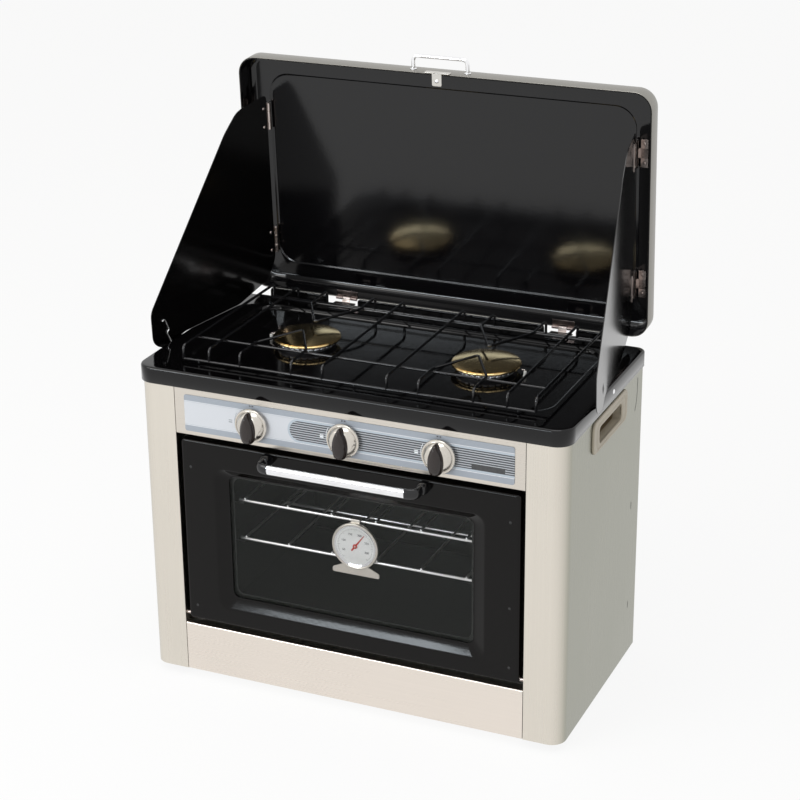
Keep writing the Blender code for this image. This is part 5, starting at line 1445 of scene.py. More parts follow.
@dataclass
class Lid:
    """Lid trays, handle, catch, hinges and windshields, in the lid's leaning frame."""

    pivot: tuple[float, float] = (0.3035, 0.4205)
    lean: float = math.radians(3.1)
    half: float = 0.2785
    face: float = 0.003
    low: float = -0.001
    high: float = 0.3175
    depth: float = 0.0323
    corner: float = 0.024
    low_corner: float = 0.023
    panel_corner: float = 0.028
    edge: float = 0.011
    sheet: float = 0.001
    panel: float = 0.0275
    pressing: float = 0.0008
    handle_half: float = 0.0365
    handle_rise: float = 0.020
    handle_wire: float = 0.0026
    hinge_xs: tuple[float, float] = (-0.1362, 0.1672)
    hinge_half: float = 0.015
    barrel: float = 0.0024
    shield_x: float = 0.251
    shield_depth: float = 0.025
    splay: float = math.radians(8.8)
    reach: float = 0.2729
    rise: float = 0.2620
    shield_barrel: float = 0.0032
    shield_hinge_zs: tuple[float, float] = (0.060, 0.232)
    shield_hinge_half: float = 0.018
    outline: tuple = ((0.016, 0.130), (0.090, 0.038), (0.330, -0.0085), (0.700, 0.0112), (0.762, 0.0125),
                      (0.792, 0.0085), (0.818, -0.010), (0.836, -0.026), (0.955, 0.0010), (1.0, 0.045),
                      (1.0, 0.197), (0.359, 0.899), (0.262, 0.975), (0.210, 0.987), (0.016, 1.0))
    rivet_steps: tuple[float, float] = (-0.0125, 0.0125)

    def place(self) -> Matrix:
        """Matrix from the lid's frame to the model's."""
        return body_place(0, *self.pivot) @ Matrix.Rotation(self.lean, 4, "X")

    def shield_place(self, side: int) -> Matrix:
        """Matrix from a windshield's frame to the model's."""
        return (self.place() @ Matrix.Translation((side * self.shield_x, self.face + self.shield_depth, 0))
                @ Matrix.Rotation(side * self.splay, 4, "Z"))

    def build(self) -> None:
        """Make every piece of the lid."""
        self.trays()
        self.handle()
        self.catch()
        for x, name in zip(self.hinge_xs, ("left", "right")):
            self.hinge(x, name)
        for side, name in SIDES:
            self.windshield(side, name)
            for number, z in enumerate(self.shield_hinge_zs, start=1):
                self.shield_hinge(side, name, number, z)

    def rings(self, rows: list[tuple[float, float]]) -> np.ndarray:
        """Rings of the lid at (inset, depth).

        Formula: each ring is a rounded rectangle whose upper corners have the lid's radius less the inset
        and whose lower corners have the smaller radius less the inset; both halves share the same middle
        line. Rings on the panel have the panel's own corner radius all round.
        """
        inward = np.array([row[0] for row in rows])
        depth = np.array([row[1] for row in rows])
        half_a = self.half - inward
        half_b = (self.high - self.low) / 2 - inward
        on_panel = inward > self.panel - 0.0065
        large = np.where(on_panel, self.panel_corner, np.maximum(self.corner - inward, 0.004))
        small = np.where(on_panel, self.panel_corner, np.maximum(self.low_corner - inward, 0.004))
        upper = rounded_rings(half_a, half_b, large, 12, (8, 8))
        lower = rounded_rings(half_a, half_b, small, 12, (8, 8))
        flat = np.where(upper[..., 1:] >= 0, upper, lower)
        middle = (self.high + self.low) / 2
        return np.stack([flat[..., 0], np.repeat((self.face + depth)[:, None], flat.shape[1], 1),
                         flat[..., 1] + middle], axis=-1)

    def wall(self, thick: float, radius: float) -> list[tuple[float, float]]:
        """Inset and depth of a tray wall that turns into its floor."""
        floor = self.depth - thick
        rows = [(thick, 0.0006), (thick, floor - radius)]
        for a in np.linspace(0, math.pi / 2, 9)[1:]:
            rows.append((thick + radius * (1 - math.cos(a)), floor - radius + radius * math.sin(a)))
        return rows

    def trays(self) -> None:
        """Outer shell and the black liner with its panel pressed back."""
        outer = self.wall(0.0, self.edge)
        inner = self.wall(self.sheet, self.edge - self.sheet)
        lip = [(0.0003, 0.0001), (self.sheet * 0.5, 0.0), (self.sheet - 0.0003, 0.0001)]
        shell = skinned(self.rings(outer[::-1] + lip + inner))
        piece("lid_shell_tray", coated([shell], self.place(), STEEL_LID), "lid",
              ("lid_shell",), 40)
        gap = self.sheet + 0.0003
        back = self.wall(gap, self.edge - gap)
        wall = 2 * self.sheet + 0.0003
        face = self.wall(wall, self.edge - wall)
        floor = self.depth - wall
        lip = [(gap + 0.0003, 0.0001), (gap + 0.0005, 0.0), (wall - 0.0003, 0.0001)]
        groove = [(self.panel - 0.0060, floor), (self.panel - 0.0008, floor)]
        for share in np.linspace(0, 1, 7):
            groove.append((self.panel + 0.0020 * share, floor + self.pressing * gentle(share)))
        groove += [(self.panel + 0.0030, floor + self.pressing), (self.panel + 0.0100, floor + self.pressing)]
        liner = skinned(self.rings(back[::-1] + lip + face + groove))
        piece("lid_liner_tray", coated([liner], self.place(), ENAMEL_LID), "lid",
              ("lid_liner",), 40)

    def handle(self) -> None:
        """Wire D handle whose legs end in flattened feet."""
        top = self.high + 0.0003
        y = self.face + 0.012
        height = top + self.handle_rise - self.handle_wire
        path = [(-self.handle_half, y, top), (-self.handle_half, y, height), (self.handle_half, y, height),
                (self.handle_half, y, top)]
        bar = sweep(eased(path, 0.0075, 8), circle(self.handle_wire, 20), (0, 1, 0))
        parts = [(bar, CHROME)]
        for side in (-1, 1):
            foot = lathe([(0, top), (0.0042, top), (0.0042, top + 0.0006), (0.0030, top + 0.0012),
                          (0, top + 0.0012)], (side * self.handle_half, y, 0), Axis.Z, 28)
            parts.append((foot, CHROME))
        piece("lid_handle_wire", placed(parts, self.place()), "lid", ("lid_handle",), 60)

    def catch(self) -> None:
        """Catch plate folded over the lid's front edge, with its rivet."""
        top = self.high + 0.0003
        front = self.face - 0.0013
        cap = box_plate((-0.0168, 0.0168), (front, self.face + 0.007), top, top + 0.001, 0.0012, 0.0003,
                        Axis.Z)
        tab = box_plate((top - 0.016, top + 0.001), (-0.0065, 0.0065), front, front + 0.001, 0.0020, 0.0003,
                        Axis.Y)
        head = rivet((0, -front, top - 0.0095), Axis.Y, 0.0026, 0.0012).moved(BACK_TO_FRONT)
        parts = [(cap, STEEL_TRIM), (tab, STEEL_TRIM), (head, CHROME)]
        piece("lid_catch_plate", placed(parts, self.place()), "lid", ("lid_catch",))

    def hinge(self, x: float, name: str) -> None:
        """Lid hinge: leaf, tongue and middle knuckle on the hob, outer knuckles and leaf on the lid."""
        share = self.hinge_half * KNUCKLE_SHARE
        y, z = self.pivot
        seat = z - 0.006 + CLEARANCE
        leaf = box_plate((x - self.hinge_half, x + self.hinge_half), (y - 0.030, y - self.barrel - 0.0013),
                         seat, seat + 0.0012, 0.0020, 0.0003, Axis.Z)
        tongue = eased([(y - 0.0062, seat + 0.0006), (y - 0.0040, seat + 0.0006), (y - 0.0018, z - 0.0006)],
                       0.002, 5)
        path = np.column_stack([np.full(len(tongue), x), tongue])
        pin = lathe([(0, -self.hinge_half - 0.0006), (0.0014, -self.hinge_half - 0.0002),
                     (0.0011, -self.hinge_half + 0.0002), (0.0011, self.hinge_half - 0.0002),
                     (0.0014, self.hinge_half + 0.0002), (0, self.hinge_half + 0.0006)],
                    (x, y, z), Axis.X, 20)
        hob = [sweep(path, strip(share, 0.0005), (0, 0, 1)),
               knuckle((x - share, x + share), (0, y, z), Axis.X, self.barrel), pin]
        parts = coated(hob, BODY, HINGE_STEEL)
        parts.append((leaf.moved(BODY), ENAMEL_BLACK))
        for offset in (-0.0095, 0.0095):
            parts += screw((x + offset, y - 0.017 + BODY_Y, seat + 0.0012 + BODY_Z), Axis.Z, 0.0024, 0.0011)
        piece(f"hob_hinge_{name}_leaf", parts, "root", (f"hob_hinge_{name}",))
        spans = [sorted((x + side * (share + CLEARANCE), x + side * self.hinge_half)) for side in (-1, 1)]
        lid = [knuckle(span, (0, 0.0, 0.0), Axis.X, self.barrel) for span in spans]
        face = self.face - CLEARANCE
        lid += [box_plate((0.0006, 0.0095), span, face - 0.0012, face, 0.0005, 0.0002, Axis.Y)
                for span in spans]
        lid.append(box_plate((self.barrel + 0.0008, 0.0095), (x - self.hinge_half, x + self.hinge_half),
                             face - 0.0012, face, 0.0010, 0.0002, Axis.Y))
        # the lid's leaves and knuckles take the darker copy of the hinge steel: painted shade
        piece(f"lid_hinge_{name}_leaf", coated(lid, self.place(), HINGE_PAINTED_SHADE), "lid",
              (f"lid_hinge_{name}",))

    def shield_outline(self) -> np.ndarray:
        """Outline of the sheet in its own y and z, with eased corners."""
        corners = [(-self.reach * a, self.rise * b) for a, b in self.outline]
        line = eased(corners, 0.008, 7, closed=True)
        turn = np.cross(line, np.roll(line, -1, axis=0)).sum()
        return line if turn > 0 else line[::-1]

    def windshield(self, side: int, name: str) -> None:
        """Enamelled sheet with its hinge plates, knuckles, rivets, pressed dimple and wire clip.

        Formula: the sheet is a plate over its outline, rounded at the edges. The dimple is an ellipse
        whose height falls off as (1 - r^2)^2 of its own radius.
        """
        enamel = [plate(self.shield_outline(), -0.0005, 0.0005, 0.0004, 3, Axis.X)]
        steel = []
        share = self.shield_hinge_half * KNUCKLE_SHARE
        for z in self.shield_hinge_zs:
            for end in (-1, 1):
                span = sorted((z + end * (share + CLEARANCE), z + end * self.shield_hinge_half))
                steel.append(knuckle(span, (0, 0, 0), Axis.Z, self.shield_barrel))
            outer = box_plate((-0.0180, -0.0022), (z - self.shield_hinge_half, z + self.shield_hinge_half),
                              0.0005, 0.0013, 0.0010, 0.0002, Axis.X)
            steel.append(outer.moved(mirror(side)))
            for offset in self.rivet_steps:
                for face, level in ((side, 0.0013), (-side, 0.0005)):
                    head = rivet((level, -0.0115, z + offset), Axis.X, 0.0024, 0.0012)
                    steel.append(head.moved(mirror(face)))
        dimple_y, dimple_z = -0.2272, 0.012
        share_r = np.linspace(1, 0, 8)
        angle = np.arange(32) * math.tau / 32
        height = 0.0004 + 0.0011 * (1 - share_r ** 2) ** 2
        rings = np.stack([np.repeat(height[:, None], 32, 1),
                          dimple_y + share_r[:, None] * 0.0040 * np.cos(angle),
                          dimple_z + 0.006 + share_r[:, None] * 0.0095 * np.sin(angle)], axis=-1)
        enamel.append(skinned(rings).moved(mirror(side)))
        bends = [(0, -0.2530, 0.0345), (0, -0.2475, 0.0355), (0, -0.2405, 0.0190), (0, -0.2455, 0.0165),
                 (0, -0.2395, 0.0050), (0, -0.2380, 0.0010)]
        clip = wire(eased(bends, 0.0022, 5), 0.0008, 12).moved(Matrix.Translation((-side * 0.0014, 0, 0)))
        seat = self.shield_place(side)
        body = f"windshield_{name}"
        piece(f"{body}_sheet", coated(enamel, seat, ENAMEL_SHIELD), body, (body,))
        piece(f"{body}_hinge_plates", coated(steel, seat, HINGE_STEEL), body)
        piece(f"{body}_clip", coated([clip], seat, CHROME), body)

    def shield_hinge(self, side: int, name: str, number: int, z: float) -> None:
        """Lid's half of a windshield hinge: middle knuckle, neck, pin and riveted leaf."""
        share = self.shield_hinge_half * KNUCKLE_SHARE
        x, y = side * self.shield_x, self.face + self.shield_depth
        floor = self.face + self.depth - 2 * self.sheet - 2 * CLEARANCE
        barrel = knuckle((-share, share), (x, y, z), Axis.Z, self.shield_barrel, 0.0)
        pin = lathe([(0, -self.shield_hinge_half - 0.0008), (0.0015, -self.shield_hinge_half - 0.0004),
                     (0.0011, -self.shield_hinge_half), (0.0011, self.shield_hinge_half),
                     (0.0015, self.shield_hinge_half + 0.0004), (0, self.shield_hinge_half + 0.0008)],
                    (x, y, z), Axis.Z, 20)

        def across(low: float, high: float) -> tuple[float, float]:
            """Bounds in x at distances outside the hinge's axis."""
            return tuple(sorted((x + side * low, x + side * high)))

        leaf = box_plate(across(0.0052, 0.0145), (floor - 0.001, floor), z - self.shield_hinge_half,
                         z + self.shield_hinge_half, 0.0003, 0.0002, Axis.Z)
        web = box_plate(across(0.0003, 0.0145), (floor - 0.001, floor), z - share, z + share, 0.0003, 0.0002,
                        Axis.Z)
        neck = box_plate(across(0.0003, self.shield_barrel), (y, floor - 0.0003), z - share + 0.0003,
                         z + share - 0.0003, 0.0003, 0.0001, Axis.Z)
        parts = [barrel, pin, leaf, web, neck]
        for offset in self.rivet_steps:
            head = rivet((x + side * 0.0105, -(floor - 0.001), z + offset), Axis.Y, 0.0020, 0.0009)
            parts.append(head.moved(BACK_TO_FRONT))
        node = f"shield_hinge_{name}_{number}"
        piece(f"{node}_leaf", coated(parts, self.place(), HINGE_STEEL), "lid", (node,))


@dataclass
class OvenDoor:
    """Pressed door, glass, handle and brackets."""

    half: float = 0.2247
    low: float = 0.0750
    high: float = 0.3245
    depth: float = 0.016
    edge: float = 0.0030
    corner: float = 0.0045
    recess: tuple[float, float, float] = (0.1800, 0.0970, 0.2916)
    recess_corner: float = 0.0150
    window: tuple[float, float, float] = (0.1630, 0.1135, 0.2810)
    window_corner: float = 0.0090
    sunk: float = 0.0070
    sheet: float = 0.001
    bar_half: float = 0.1035
    bar_reach: float = 0.030
    bar_tall: float = 0.012
    bar_thick: float = 0.0064
    bar_z: float = 0.3165
    bevel_steps: tuple = ((0.0, 0.015), (0.06, 0.06), (0.15, 0.17), (0.5, 0.52), (0.80, 0.88), (0.90, 0.965),
                          (0.96, 0.995), (1.0, 1.0))
    bracket_steps: tuple = ((0.0, 0.96, 0.0), (0.04, 1.0, 0.0), (0.45, 1.0, 0.0), (0.70, 0.94, 0.25),
                            (0.86, 0.84, 0.45), (0.95, 0.70, 0.55), (1.0, 0.48, 0.60))
    screw_spots: tuple = ((0.2120, 0.288), (0.2120, 0.175), (0.2120, 0.095), (-0.2120, 0.288),
                          (-0.2120, 0.095))

    def build(self) -> None:
        """Make the door's pieces and dress its plain nodes."""
        self.shell()
        self.glass()
        self.handle()
        self.fastenings()
        dress("door_inner", ENAMEL_OVEN)

    def ring(self, size: tuple[float, float, float, float], y: float) -> np.ndarray:
        """Ring of a rounded rectangle (half, low, high, radius) at one depth."""
        half, low, high, radius = size
        flat = rounded_rings(half, (high - low) / 2, radius, 10, (6, 6))[0]
        return np.column_stack([flat[:, 0], np.full(len(flat), y), flat[:, 1] + (high + low) / 2])

    def shell(self) -> None:
        """Door shell: rolled edge, flat frame, soft bevel to the window, and the same inside.

        Formula: rings run from the rear edge round a quarter circle to the face, across it, down the
        bevel with eased shoulders to the window's edge, and back behind it one thickness deeper.
        """
        rings = []

        def outer(inward: float, y: float) -> None:
            """Ring near the door's edge."""
            rings.append(self.ring((self.half - inward, self.low + inward, self.high - inward,
                                    max(self.corner - inward * 0.5, 0.002)), y))

        def bevel(share: float, y: float) -> None:
            """Ring between the recess and the window."""
            size = [a + (b - a) * share for a, b in zip(self.recess, self.window)]
            radius = self.recess_corner + (self.window_corner - self.recess_corner) * share
            rings.append(self.ring((*size, radius), y))

        outer(0, self.depth)
        for a in np.linspace(0, math.pi / 2, 7):
            outer(self.edge * (1 - math.cos(a)), self.edge * (1 - math.sin(a)))
        outer(self.edge + 0.0012, 0.0)
        bevel(-0.10, 0.0)
        for share, deep in self.bevel_steps:
            bevel(share, self.sunk * deep)
        bevel(1.0, self.sunk + self.sheet)
        bevel(0.5, self.sunk * 0.52 + self.sheet)
        bevel(0.0, self.sheet)
        outer(self.edge, self.sheet)
        outer(self.sheet, self.edge + self.sheet)
        outer(self.sheet, self.depth)
        skin = skinned(np.stack(rings), looped=True).moved(BODY)
        piece("door_shell", [(skin, ENAMEL_DOOR)], "door", ("door_outer",), 40)

    def glass(self) -> None:
        """Glass pane with ground edges."""
        low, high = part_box("door_glass")
        pane = box_plate((low.z, high.z), (low.x, high.x), low.y, high.y, 0.009, 0.0006, Axis.Y)
        piece("door_glass_pane", [(pane, GLASS)], "door", ("door_glass",))

    def bar_path(self) -> np.ndarray:
        """Middle line of the handle bar."""
        near = self.bar_reach * 0.38
        return eased([(-self.bar_half, -near, self.bar_z), (-self.bar_half, -self.bar_reach, self.bar_z),
                      (self.bar_half, -self.bar_reach, self.bar_z), (self.bar_half, -near, self.bar_z)],
                     0.0175, 16)

    def handle(self) -> None:
        """Flattened chrome bar, and the two gloss black brackets that hold its ends.

        Formula: the bar is an ellipse carried along its path; a bracket is a rounded block whose rings
        shrink and lean towards the bar, with a slightly wider ellipse carried along the end of the same
        path as its elbow. The elbow is gloss black over the chrome bar's bent end: a painted dark reflection
        of the door.
        """
        bar = sweep(self.bar_path(), circle(self.bar_tall / 2, 28, self.bar_thick / self.bar_tall)[:, ::-1],
                    (0, 0, 1))
        piece("handle_bar", [(bar.moved(BODY), CHROME)], "door", ("door_handle_bar",), 60)
        for side, name in SIDES:
            node = f"door_handle_bracket_{name}"
            low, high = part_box(node)
            centre = np.array([(low.x + high.x) / 2, (low.z + high.z) / 2])
            wide = np.array([(high.x - low.x) / 2, (high.z - low.z) / 2])
            length = high.y - low.y
            rings = []
            for share, grow, lean in self.bracket_steps:
                flat = rounded_rings(wide[0] * grow, wide[1] * grow, 0.0055 * grow, 6)[0]
                shift = -side * 0.0016 * lean
                rings.append(np.column_stack([flat[:, 0] + centre[0] + shift,
                                              np.full(len(flat), high.y - length * share),
                                              flat[:, 1] + centre[1]]))
            line = self.bar_path()
            # gloss black sleeve over the chrome bar's end: painted dark reflection of the door
            elbow = sweep(line[:16] if side < 0 else line[-16:],
                          circle(self.bar_tall / 2 + 0.0010, 28, 0.60)[:, ::-1], (0, 0, 1), dome=0.0006)
            parts = [(skinned(np.stack(rings)), GLOSS_BLACK_AND_PAINTED_REFLECTION), (elbow.moved(BODY), GLOSS_BLACK_AND_PAINTED_REFLECTION)]
            piece(f"handle_bracket_{name}", parts, "door", (node,), 50)

    def fastenings(self) -> None:
        """Small dark screws in the door's face."""
        parts = []
        for x, z in self.screw_spots:
            head = rivet((x, -BODY_Y, z + BODY_Z), Axis.Y, 0.0019, 0.0006).moved(BACK_TO_FRONT)
            parts.append((head, PAINTED_HOLE_SHADE_AND_BLACK))
        piece("door_screws", parts, "door")


@dataclass
class Oven:
    """Racks, thermometer, liner, floor plate and burner tube."""

    rack_half: float = 0.1565
    rack_front: float = 0.0215
    rack_depth: float = 0.228
    rack_zs: tuple[float, float] = (0.2440, 0.1915)
    rack_wire: float = 0.0020
    cross_wire: float = 0.0016
    cross_xs: tuple[float, ...] = (0.0298, 0.0895, 0.1488)
    dial: tuple[float, float] = (0.004, 0.2115)
    dial_radius: float = 0.031
    dial_front: float = 0.0132
    dial_rear: float = 0.0177
    scale_start: float = 225.0
    scale_sweep: float = 270.0
    scale_steps: int = 48
    needle_turn: float = 37.0

    def build(self) -> None:
        """Make the oven's pieces and dress its plain nodes."""
        for name, z in zip(("upper", "lower"), self.rack_zs):
            self.rack(name, z)
        self.thermometer()
        self.needle()
        self.burner_tube()
        dress("oven_liner", ENAMEL_OVEN)
        dress("oven_floor_plate", ENAMEL_OVEN)

    def rack(self, name: str, z: float) -> None:
        """Rack of round wires, the lengthways ones standing on the rods."""
        skins = []
        for share in (0.0, 0.5, 1.0):
            y = self.rack_front + self.rack_depth * share
            rod = np.array([(-self.rack_half, y, z), (self.rack_half, y, z)])
            skins.append(wire(rod, self.rack_wire, 16))
        over = z + self.rack_wire * 1.3
        past = self.rack_wire * 0.4
        ends = (self.rack_front - past, self.rack_front + self.rack_depth + past)
        for x in self.cross_xs:
            for side in (-1, 1):
                skins.append(wire(np.array([(side * x, y, over) for y in ends]), self.cross_wire, 14))
        skin = joined(skins).moved(BODY)
        piece(f"oven_rack_{name}_wires", [(skin, RACK_CHROME)], f"rack_{name}",
              (f"oven_rack_{name}",), 60)

    def ticks(self) -> Skin:
        """Scale of the dial.

        Formula: tick k is a thin bar at the scale's first angle less its sweep times k / 48, longer at
        every eighth.
        """
        bars = []
        for k in range(self.scale_steps + 1):
            angle = math.radians(self.scale_start - self.scale_sweep * k / self.scale_steps)
            long = k % 8 == 0
            middle, half = (0.0222, 0.0014) if long else (0.0230, 0.0007)
            bar = box_plate((-half, half), (-0.00016, 0.00016), 0.0, 0.0002, 0.0001, 0.00003, Axis.Z)
            bars.append(bar.moved(Matrix.Rotation(angle, 4, "Z") @ Matrix.Translation((middle, 0, 0))))
        return joined(bars)

    def thermometer(self) -> None:
        """Dial case with a rolled rim, printed face, foot and hook."""
        x, z = self.dial
        centre = (x, BODY_Y, z + BODY_Z)
        front, rear, radius = self.dial_front, self.dial_rear, self.dial_radius
        angle = np.linspace(0, math.pi, 11)
        rim = 0.0016
        profile = [(0, rear), (radius - 0.0008, rear), (radius, rear - 0.0008), (radius, front + rim)]
        profile += list(zip(radius - rim + rim * np.cos(angle), front + rim - rim * np.sin(angle)))
        profile += [(radius - 2 * rim, front + 0.0021), (0, front + 0.0021)]
        case = lathe(profile, centre, Axis.Y, 96)
        bezel = lathe([(0.0252, front + 0.0021), (0.0278, front + 0.0021), (0.0278, front + 0.0009),
                       (0.0262, front + 0.0016)], centre, Axis.Y, 96, looped=True)
        to_face = Matrix.Translation((x, front + 0.0020 + BODY_Y, z + BODY_Z)) @ FACING_FRONT
        face = lathe([(0, 0), (0.0252, 0), (0.0252, 0.0001), (0, 0.0001)], (0, 0, 0), Axis.Z, 96)
        parts = [(case, CASE_STEEL), (bezel, CHROME), (face.moved(to_face), DIAL_WHITE),
                 (self.ticks().moved(to_face), DIAL_INK)]
        for k, number in enumerate(("50", "100", "150", "200", "250", "300")):
            turn = math.radians(self.scale_start - self.scale_sweep * k / 6 - 22)
            spot = Matrix.Translation((0.0168 * math.cos(turn), 0.0168 * math.sin(turn), 0.0002))
            parts.append((lettering(number, 0.0040, 0.00012).moved(to_face @ spot), DIAL_INK))
        hub = lathe([(0, 0), (0.0012, 0), (0.0012, 0.0012), (0.0008, 0.0016), (0, 0.0016)],
                    (0, 0, 0), Axis.Z, 24)
        parts.append((hub.moved(to_face), CASE_STEEL))
        base = z - 0.0395
        foot_line = eased([(-0.0315, base), (0.0315, base), (0.0315, base + 0.0065), (0.0235, base + 0.0100),
                           (0.0190, base + 0.0125), (-0.0190, base + 0.0125), (-0.0235, base + 0.0100),
                           (-0.0315, base + 0.0065)], 0.0022, 5, closed=True) + (x, BODY_Z)
        foot = plate(foot_line[::-1, ::-1], front + 0.0026 + BODY_Y, front + 0.0040 + BODY_Y, 0.0004, 3,
                     Axis.Y)
        parts.append((foot, CASE_STEEL))
        over = self.rack_zs[0] + self.rack_wire + CLEARANCE + 0.0004
        near, far = rear - 0.0004, self.rack_front + 0.0027
        hook_line = eased([(near, z + 0.0260), (near, over), (far, over), (far, over - 0.0030)], 0.0012, 5)
        path = np.column_stack([np.full(len(hook_line), x), hook_line])
        hook = sweep(path, strip(0.0004, 0.006), (1, 0, 0))
        parts.append((hook.moved(BODY), CASE_STEEL))
        piece("thermometer_dial", parts, "rack_upper", ("thermometer_case",), 30)

    def needle(self) -> None:
        """Tapered red needle with its hub."""
        turn = math.radians(self.needle_turn)
        outline = np.array([(-0.0009, -0.0080), (0.0009, -0.0080), (0.0012, -0.0010), (0.0003, 0.0205),
                            (-0.0003, 0.0205), (-0.0012, -0.0010)])
        blade = plate(outline, 0.0, 0.0005, 0.0001, 2, Axis.Z)
        hub = lathe([(0.0015, 0), (0.0030, 0), (0.0030, 0.0004), (0.0025, 0.0007), (0.0015, 0.0007)],
                    (0, 0, 0), Axis.Z, 32, looped=True)
        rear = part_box("thermometer_needle")[1].y
        place = (Matrix.Translation((self.dial[0], rear, self.dial[1] + BODY_Z))
                 @ Matrix.Rotation(turn, 4, "Y") @ FACING_FRONT)
        piece("thermometer_pointer", coated([blade, hub], place, NEEDLE_RED), "needle",
              ("thermometer_needle",))

    def burner_tube(self) -> None:
        """Dress the oven burner and add its row of ports, drawn as dark discs: painted shade of the holes."""
        dress("oven_burner_tube", ALUMINIUM)
        low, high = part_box("oven_burner_tube")
        y = (low.y + high.y) / 2
        parts = []
        for x in np.linspace(-0.105, 0.105, 22):
            parts.append((lathe([(0, 0), (0.0013, 0), (0.0013, 0.0002), (0, 0.0002)], (x, y, high.z - 0.0001),
                                Axis.Z, 12), PAINTED_HOLE_SHADE_AND_BLACK))
        piece("burner_tube_ports", parts, "root")


@dataclass
class Knobs:
    """Control knobs: bezel, silver skirt and dark leaf-shaped grip."""

    bezel: float = 0.0215
    skirt: float = 0.0175
    skirt_top: float = 0.0140
    grip_up: float = 0.0212
    grip_down: float = 0.0214
    grip_half: float = 0.0100

    def build(self) -> None:
        """Make the three knobs."""
        for number in (1, 2, 3):
            self.knob(number)

    def knob(self, number: int) -> None:
        """One knob, standing on its node's place.

        Formula: the bezel and skirt are turned profiles. The grip's rings are a leaf outline that narrows
        ring by ring towards its top, more across than along.
        """
        low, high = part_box(f"knob_{number}")
        x, z = (low.x + high.x) / 2, (low.z + high.z) / 2
        rear, tip = high.y, low.y
        place = Matrix.Translation((x, rear, z)) @ FACING_FRONT
        turned = lathe([(0, 0), (0.0198, 0), (self.bezel - 0.0006, 0.0002), (self.bezel, 0.0008),
                        (self.bezel, 0.0022), (self.bezel - 0.0005, 0.0029), (self.bezel - 0.0022, 0.0033),
                        (0.0190, 0.0030), (0.0186, 0.0032), (self.skirt + 0.0005, 0.0046),
                        (self.skirt_top + 0.0008, 0.0086), (self.skirt_top, 0.0092), (0, 0.0092)],
                       (0, 0, 0), Axis.Z, 72)
        height = rear - tip
        leaf = [(0.0, self.grip_up), (-self.grip_half * 0.56, self.grip_up * 0.62),
                (-self.grip_half * 0.96, self.grip_up * 0.12), (-self.grip_half, -self.grip_down * 0.42),
                (-self.grip_half * 0.66, -self.grip_down * 0.90), (0.0, -self.grip_down),
                (self.grip_half * 0.66, -self.grip_down * 0.90), (self.grip_half, -self.grip_down * 0.42),
                (self.grip_half * 0.96, self.grip_up * 0.12), (self.grip_half * 0.56, self.grip_up * 0.62)]
        outline = eased(leaf, 0.006, 5, closed=True)
        rings = []
        for share, level in ((1.0, 0.0060), (1.0, 0.0105), (0.86, height - 0.0042), (0.66, height - 0.0016),
                             (0.44, height - 0.0004), (0.22, height)):
            ring = outline * (share, 0.45 + share * 0.55)
            rings.append(np.column_stack([ring, np.full(len(ring), level)]))
        grip = skinned(np.stack(rings))
        parts = [(turned.moved(place), SKIRT_SILVER), (grip.moved(place), GRIP_BROWN)]
        piece(f"knob_{number}_moulding", parts, f"knob_{number}", (f"knob_{number}",), 40)


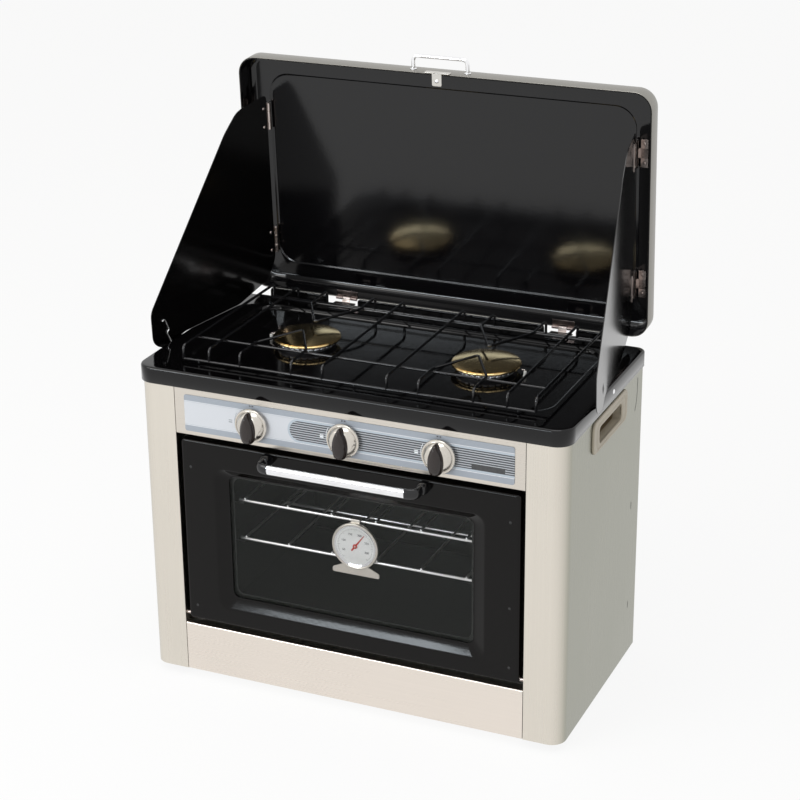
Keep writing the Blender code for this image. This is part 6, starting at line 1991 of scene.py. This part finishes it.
# Stage
@dataclass
class Studio:
    """Floor, backdrop light, lamps and the camera."""

    eye: tuple[float, float, float] = (0.9906, -2.24361, 1.3636)
    yaw: float = -23.701
    pitch: float = 22.204
    roll: float = -0.576
    lens: float = 95.01
    floor_half: float = 14.0
    room_light: float = 0.58
    floor_white: float = 0.88

    def build(self) -> None:
        """Set up the stage."""
        self.world()
        self.floor()
        self.lamps()
        self.camera()

    @staticmethod
    def seen(graph: Graph) -> Signal:
        """One for camera, glossy and transmission rays."""
        first = graph.node("ShaderNodeLightPath", output="Is Camera Ray")
        outputs = first.socket.node.outputs
        return first.larger(Signal(graph, outputs["Is Glossy Ray"])).larger(
            Signal(graph, outputs["Is Transmission Ray"]))

    def world(self) -> None:
        """White backdrop, and a softer white that lights the object."""
        world = bpy.data.worlds.new("backdrop")
        bpy.context.scene.world = world
        world.use_nodes = True
        graph = Graph(world.node_tree)
        soft = graph.node("ShaderNodeBackground", inputs={
            0: (1.0, 0.99, 0.98, 1.0), 1: self.room_light})
        white = graph.node("ShaderNodeBackground", inputs={0: (1.0, 1.0, 1.0, 1.0), 1: 1.0})
        graph.output(graph.node("ShaderNodeMixShader", inputs={0: self.seen(graph), 1: soft, 2: white}),
                     "ShaderNodeOutputWorld")

    def floor(self) -> None:
        """Pale floor that keeps the object's shadow."""
        size = self.floor_half
        mesh = bpy.data.meshes.new("floor")
        mesh.from_pydata([(-size, -size, 0), (size, -size, 0), (size, size, 0), (-size, size, 0)], [],
                         [(0, 1, 2, 3)])
        floor = bpy.data.objects.new("floor", mesh)
        bpy.context.collection.objects.link(floor)
        made = bpy.data.materials.new("floor")
        made.use_nodes = True
        graph = Graph(made.node_tree)
        plain = graph.node("ShaderNodeBsdfDiffuse", inputs={0: (0.88, 0.88, 0.87, 1.0)})
        white = graph.node("ShaderNodeEmission", inputs={0: (1.0, 1.0, 1.0, 1.0), 1: 1.0})
        share = self.seen(graph) * self.floor_white
        graph.output(graph.node("ShaderNodeMixShader", inputs={0: share, 1: plain, 2: white}))
        mesh.materials.append(made)
        floor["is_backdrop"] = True

    @staticmethod
    def lamp(name: str, place: tuple, aim: tuple, size: tuple[float, float], power: float,
             colour: tuple[float, float, float]) -> None:
        """One soft area lamp aimed at a point."""
        data = bpy.data.lights.new(name, "AREA")
        data.shape = "RECTANGLE"
        data.size, data.size_y = size
        data.energy = power
        data.color = colour
        lamp = bpy.data.objects.new(name, data)
        lamp.location = place
        lamp.rotation_euler = (Vector(aim) - Vector(place)).to_track_quat("-Z", "Y").to_euler()
        bpy.context.collection.objects.link(lamp)

    def lamps(self) -> None:
        """Low strip and large key from the front left, and a top light."""
        target = (0.0, -0.05, 0.30)
        self.lamp("strip", (-0.967, -2.383, 1.02), target, (1.25, 0.28), 20.0, (0.86, 0.94, 1.0))
        self.lamp("key", (-1.75, -1.75, 1.9), target, (1.4, 1.4), 20.0, (1.0, 0.98, 0.95))
        self.lamp("top", (0.15, -0.32, 2.6), target, (1.2, 0.8), 12.0, (1.0, 1.0, 1.0))

    def camera(self) -> None:
        """Camera at the photograph's viewing angle."""
        yaw, pitch, roll = (math.radians(value) for value in (self.yaw, self.pitch, self.roll))
        forward = Vector((math.sin(yaw) * math.cos(pitch), math.cos(yaw) * math.cos(pitch), -math.sin(pitch)))
        level = Vector((math.cos(yaw), -math.sin(yaw), 0))
        above = level.cross(forward)
        right = level * math.cos(roll) + above * math.sin(roll)
        up = above * math.cos(roll) - level * math.sin(roll)
        data = bpy.data.cameras.new("camera")
        data.lens = self.lens
        data.sensor_width = 36.0
        camera = bpy.data.objects.new("camera", data)
        camera.matrix_world = (Matrix.Translation(self.eye)
                               @ Matrix((right, up, -forward)).transposed().to_4x4())
        bpy.context.collection.objects.link(camera)
        bpy.context.scene.camera = camera
        bpy.context.scene.view_settings.view_transform = "Standard"


def corners(bounds: tuple) -> list[list[float]]:
    """Two corners as plain lists of numbers."""
    return [[float(value) for value in corner] for corner in bounds]


def main() -> None:
    """Build every sub-assembly in order; the model's and the scene's sizes are worked out but not kept."""
    logging.basicConfig(level=logging.INFO, format="%(name)s %(message)s")
    packed = corners(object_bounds())
    for assembly in (Studio(), Casing(), Hob(), Lid(), OvenDoor(), Oven(), Knobs()):
        assembly.build()
        LOG.info("%s done", type(assembly).__name__)
    {"cad": packed, "scene": corners(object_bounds())}


if __name__ == "__main__":
    main()
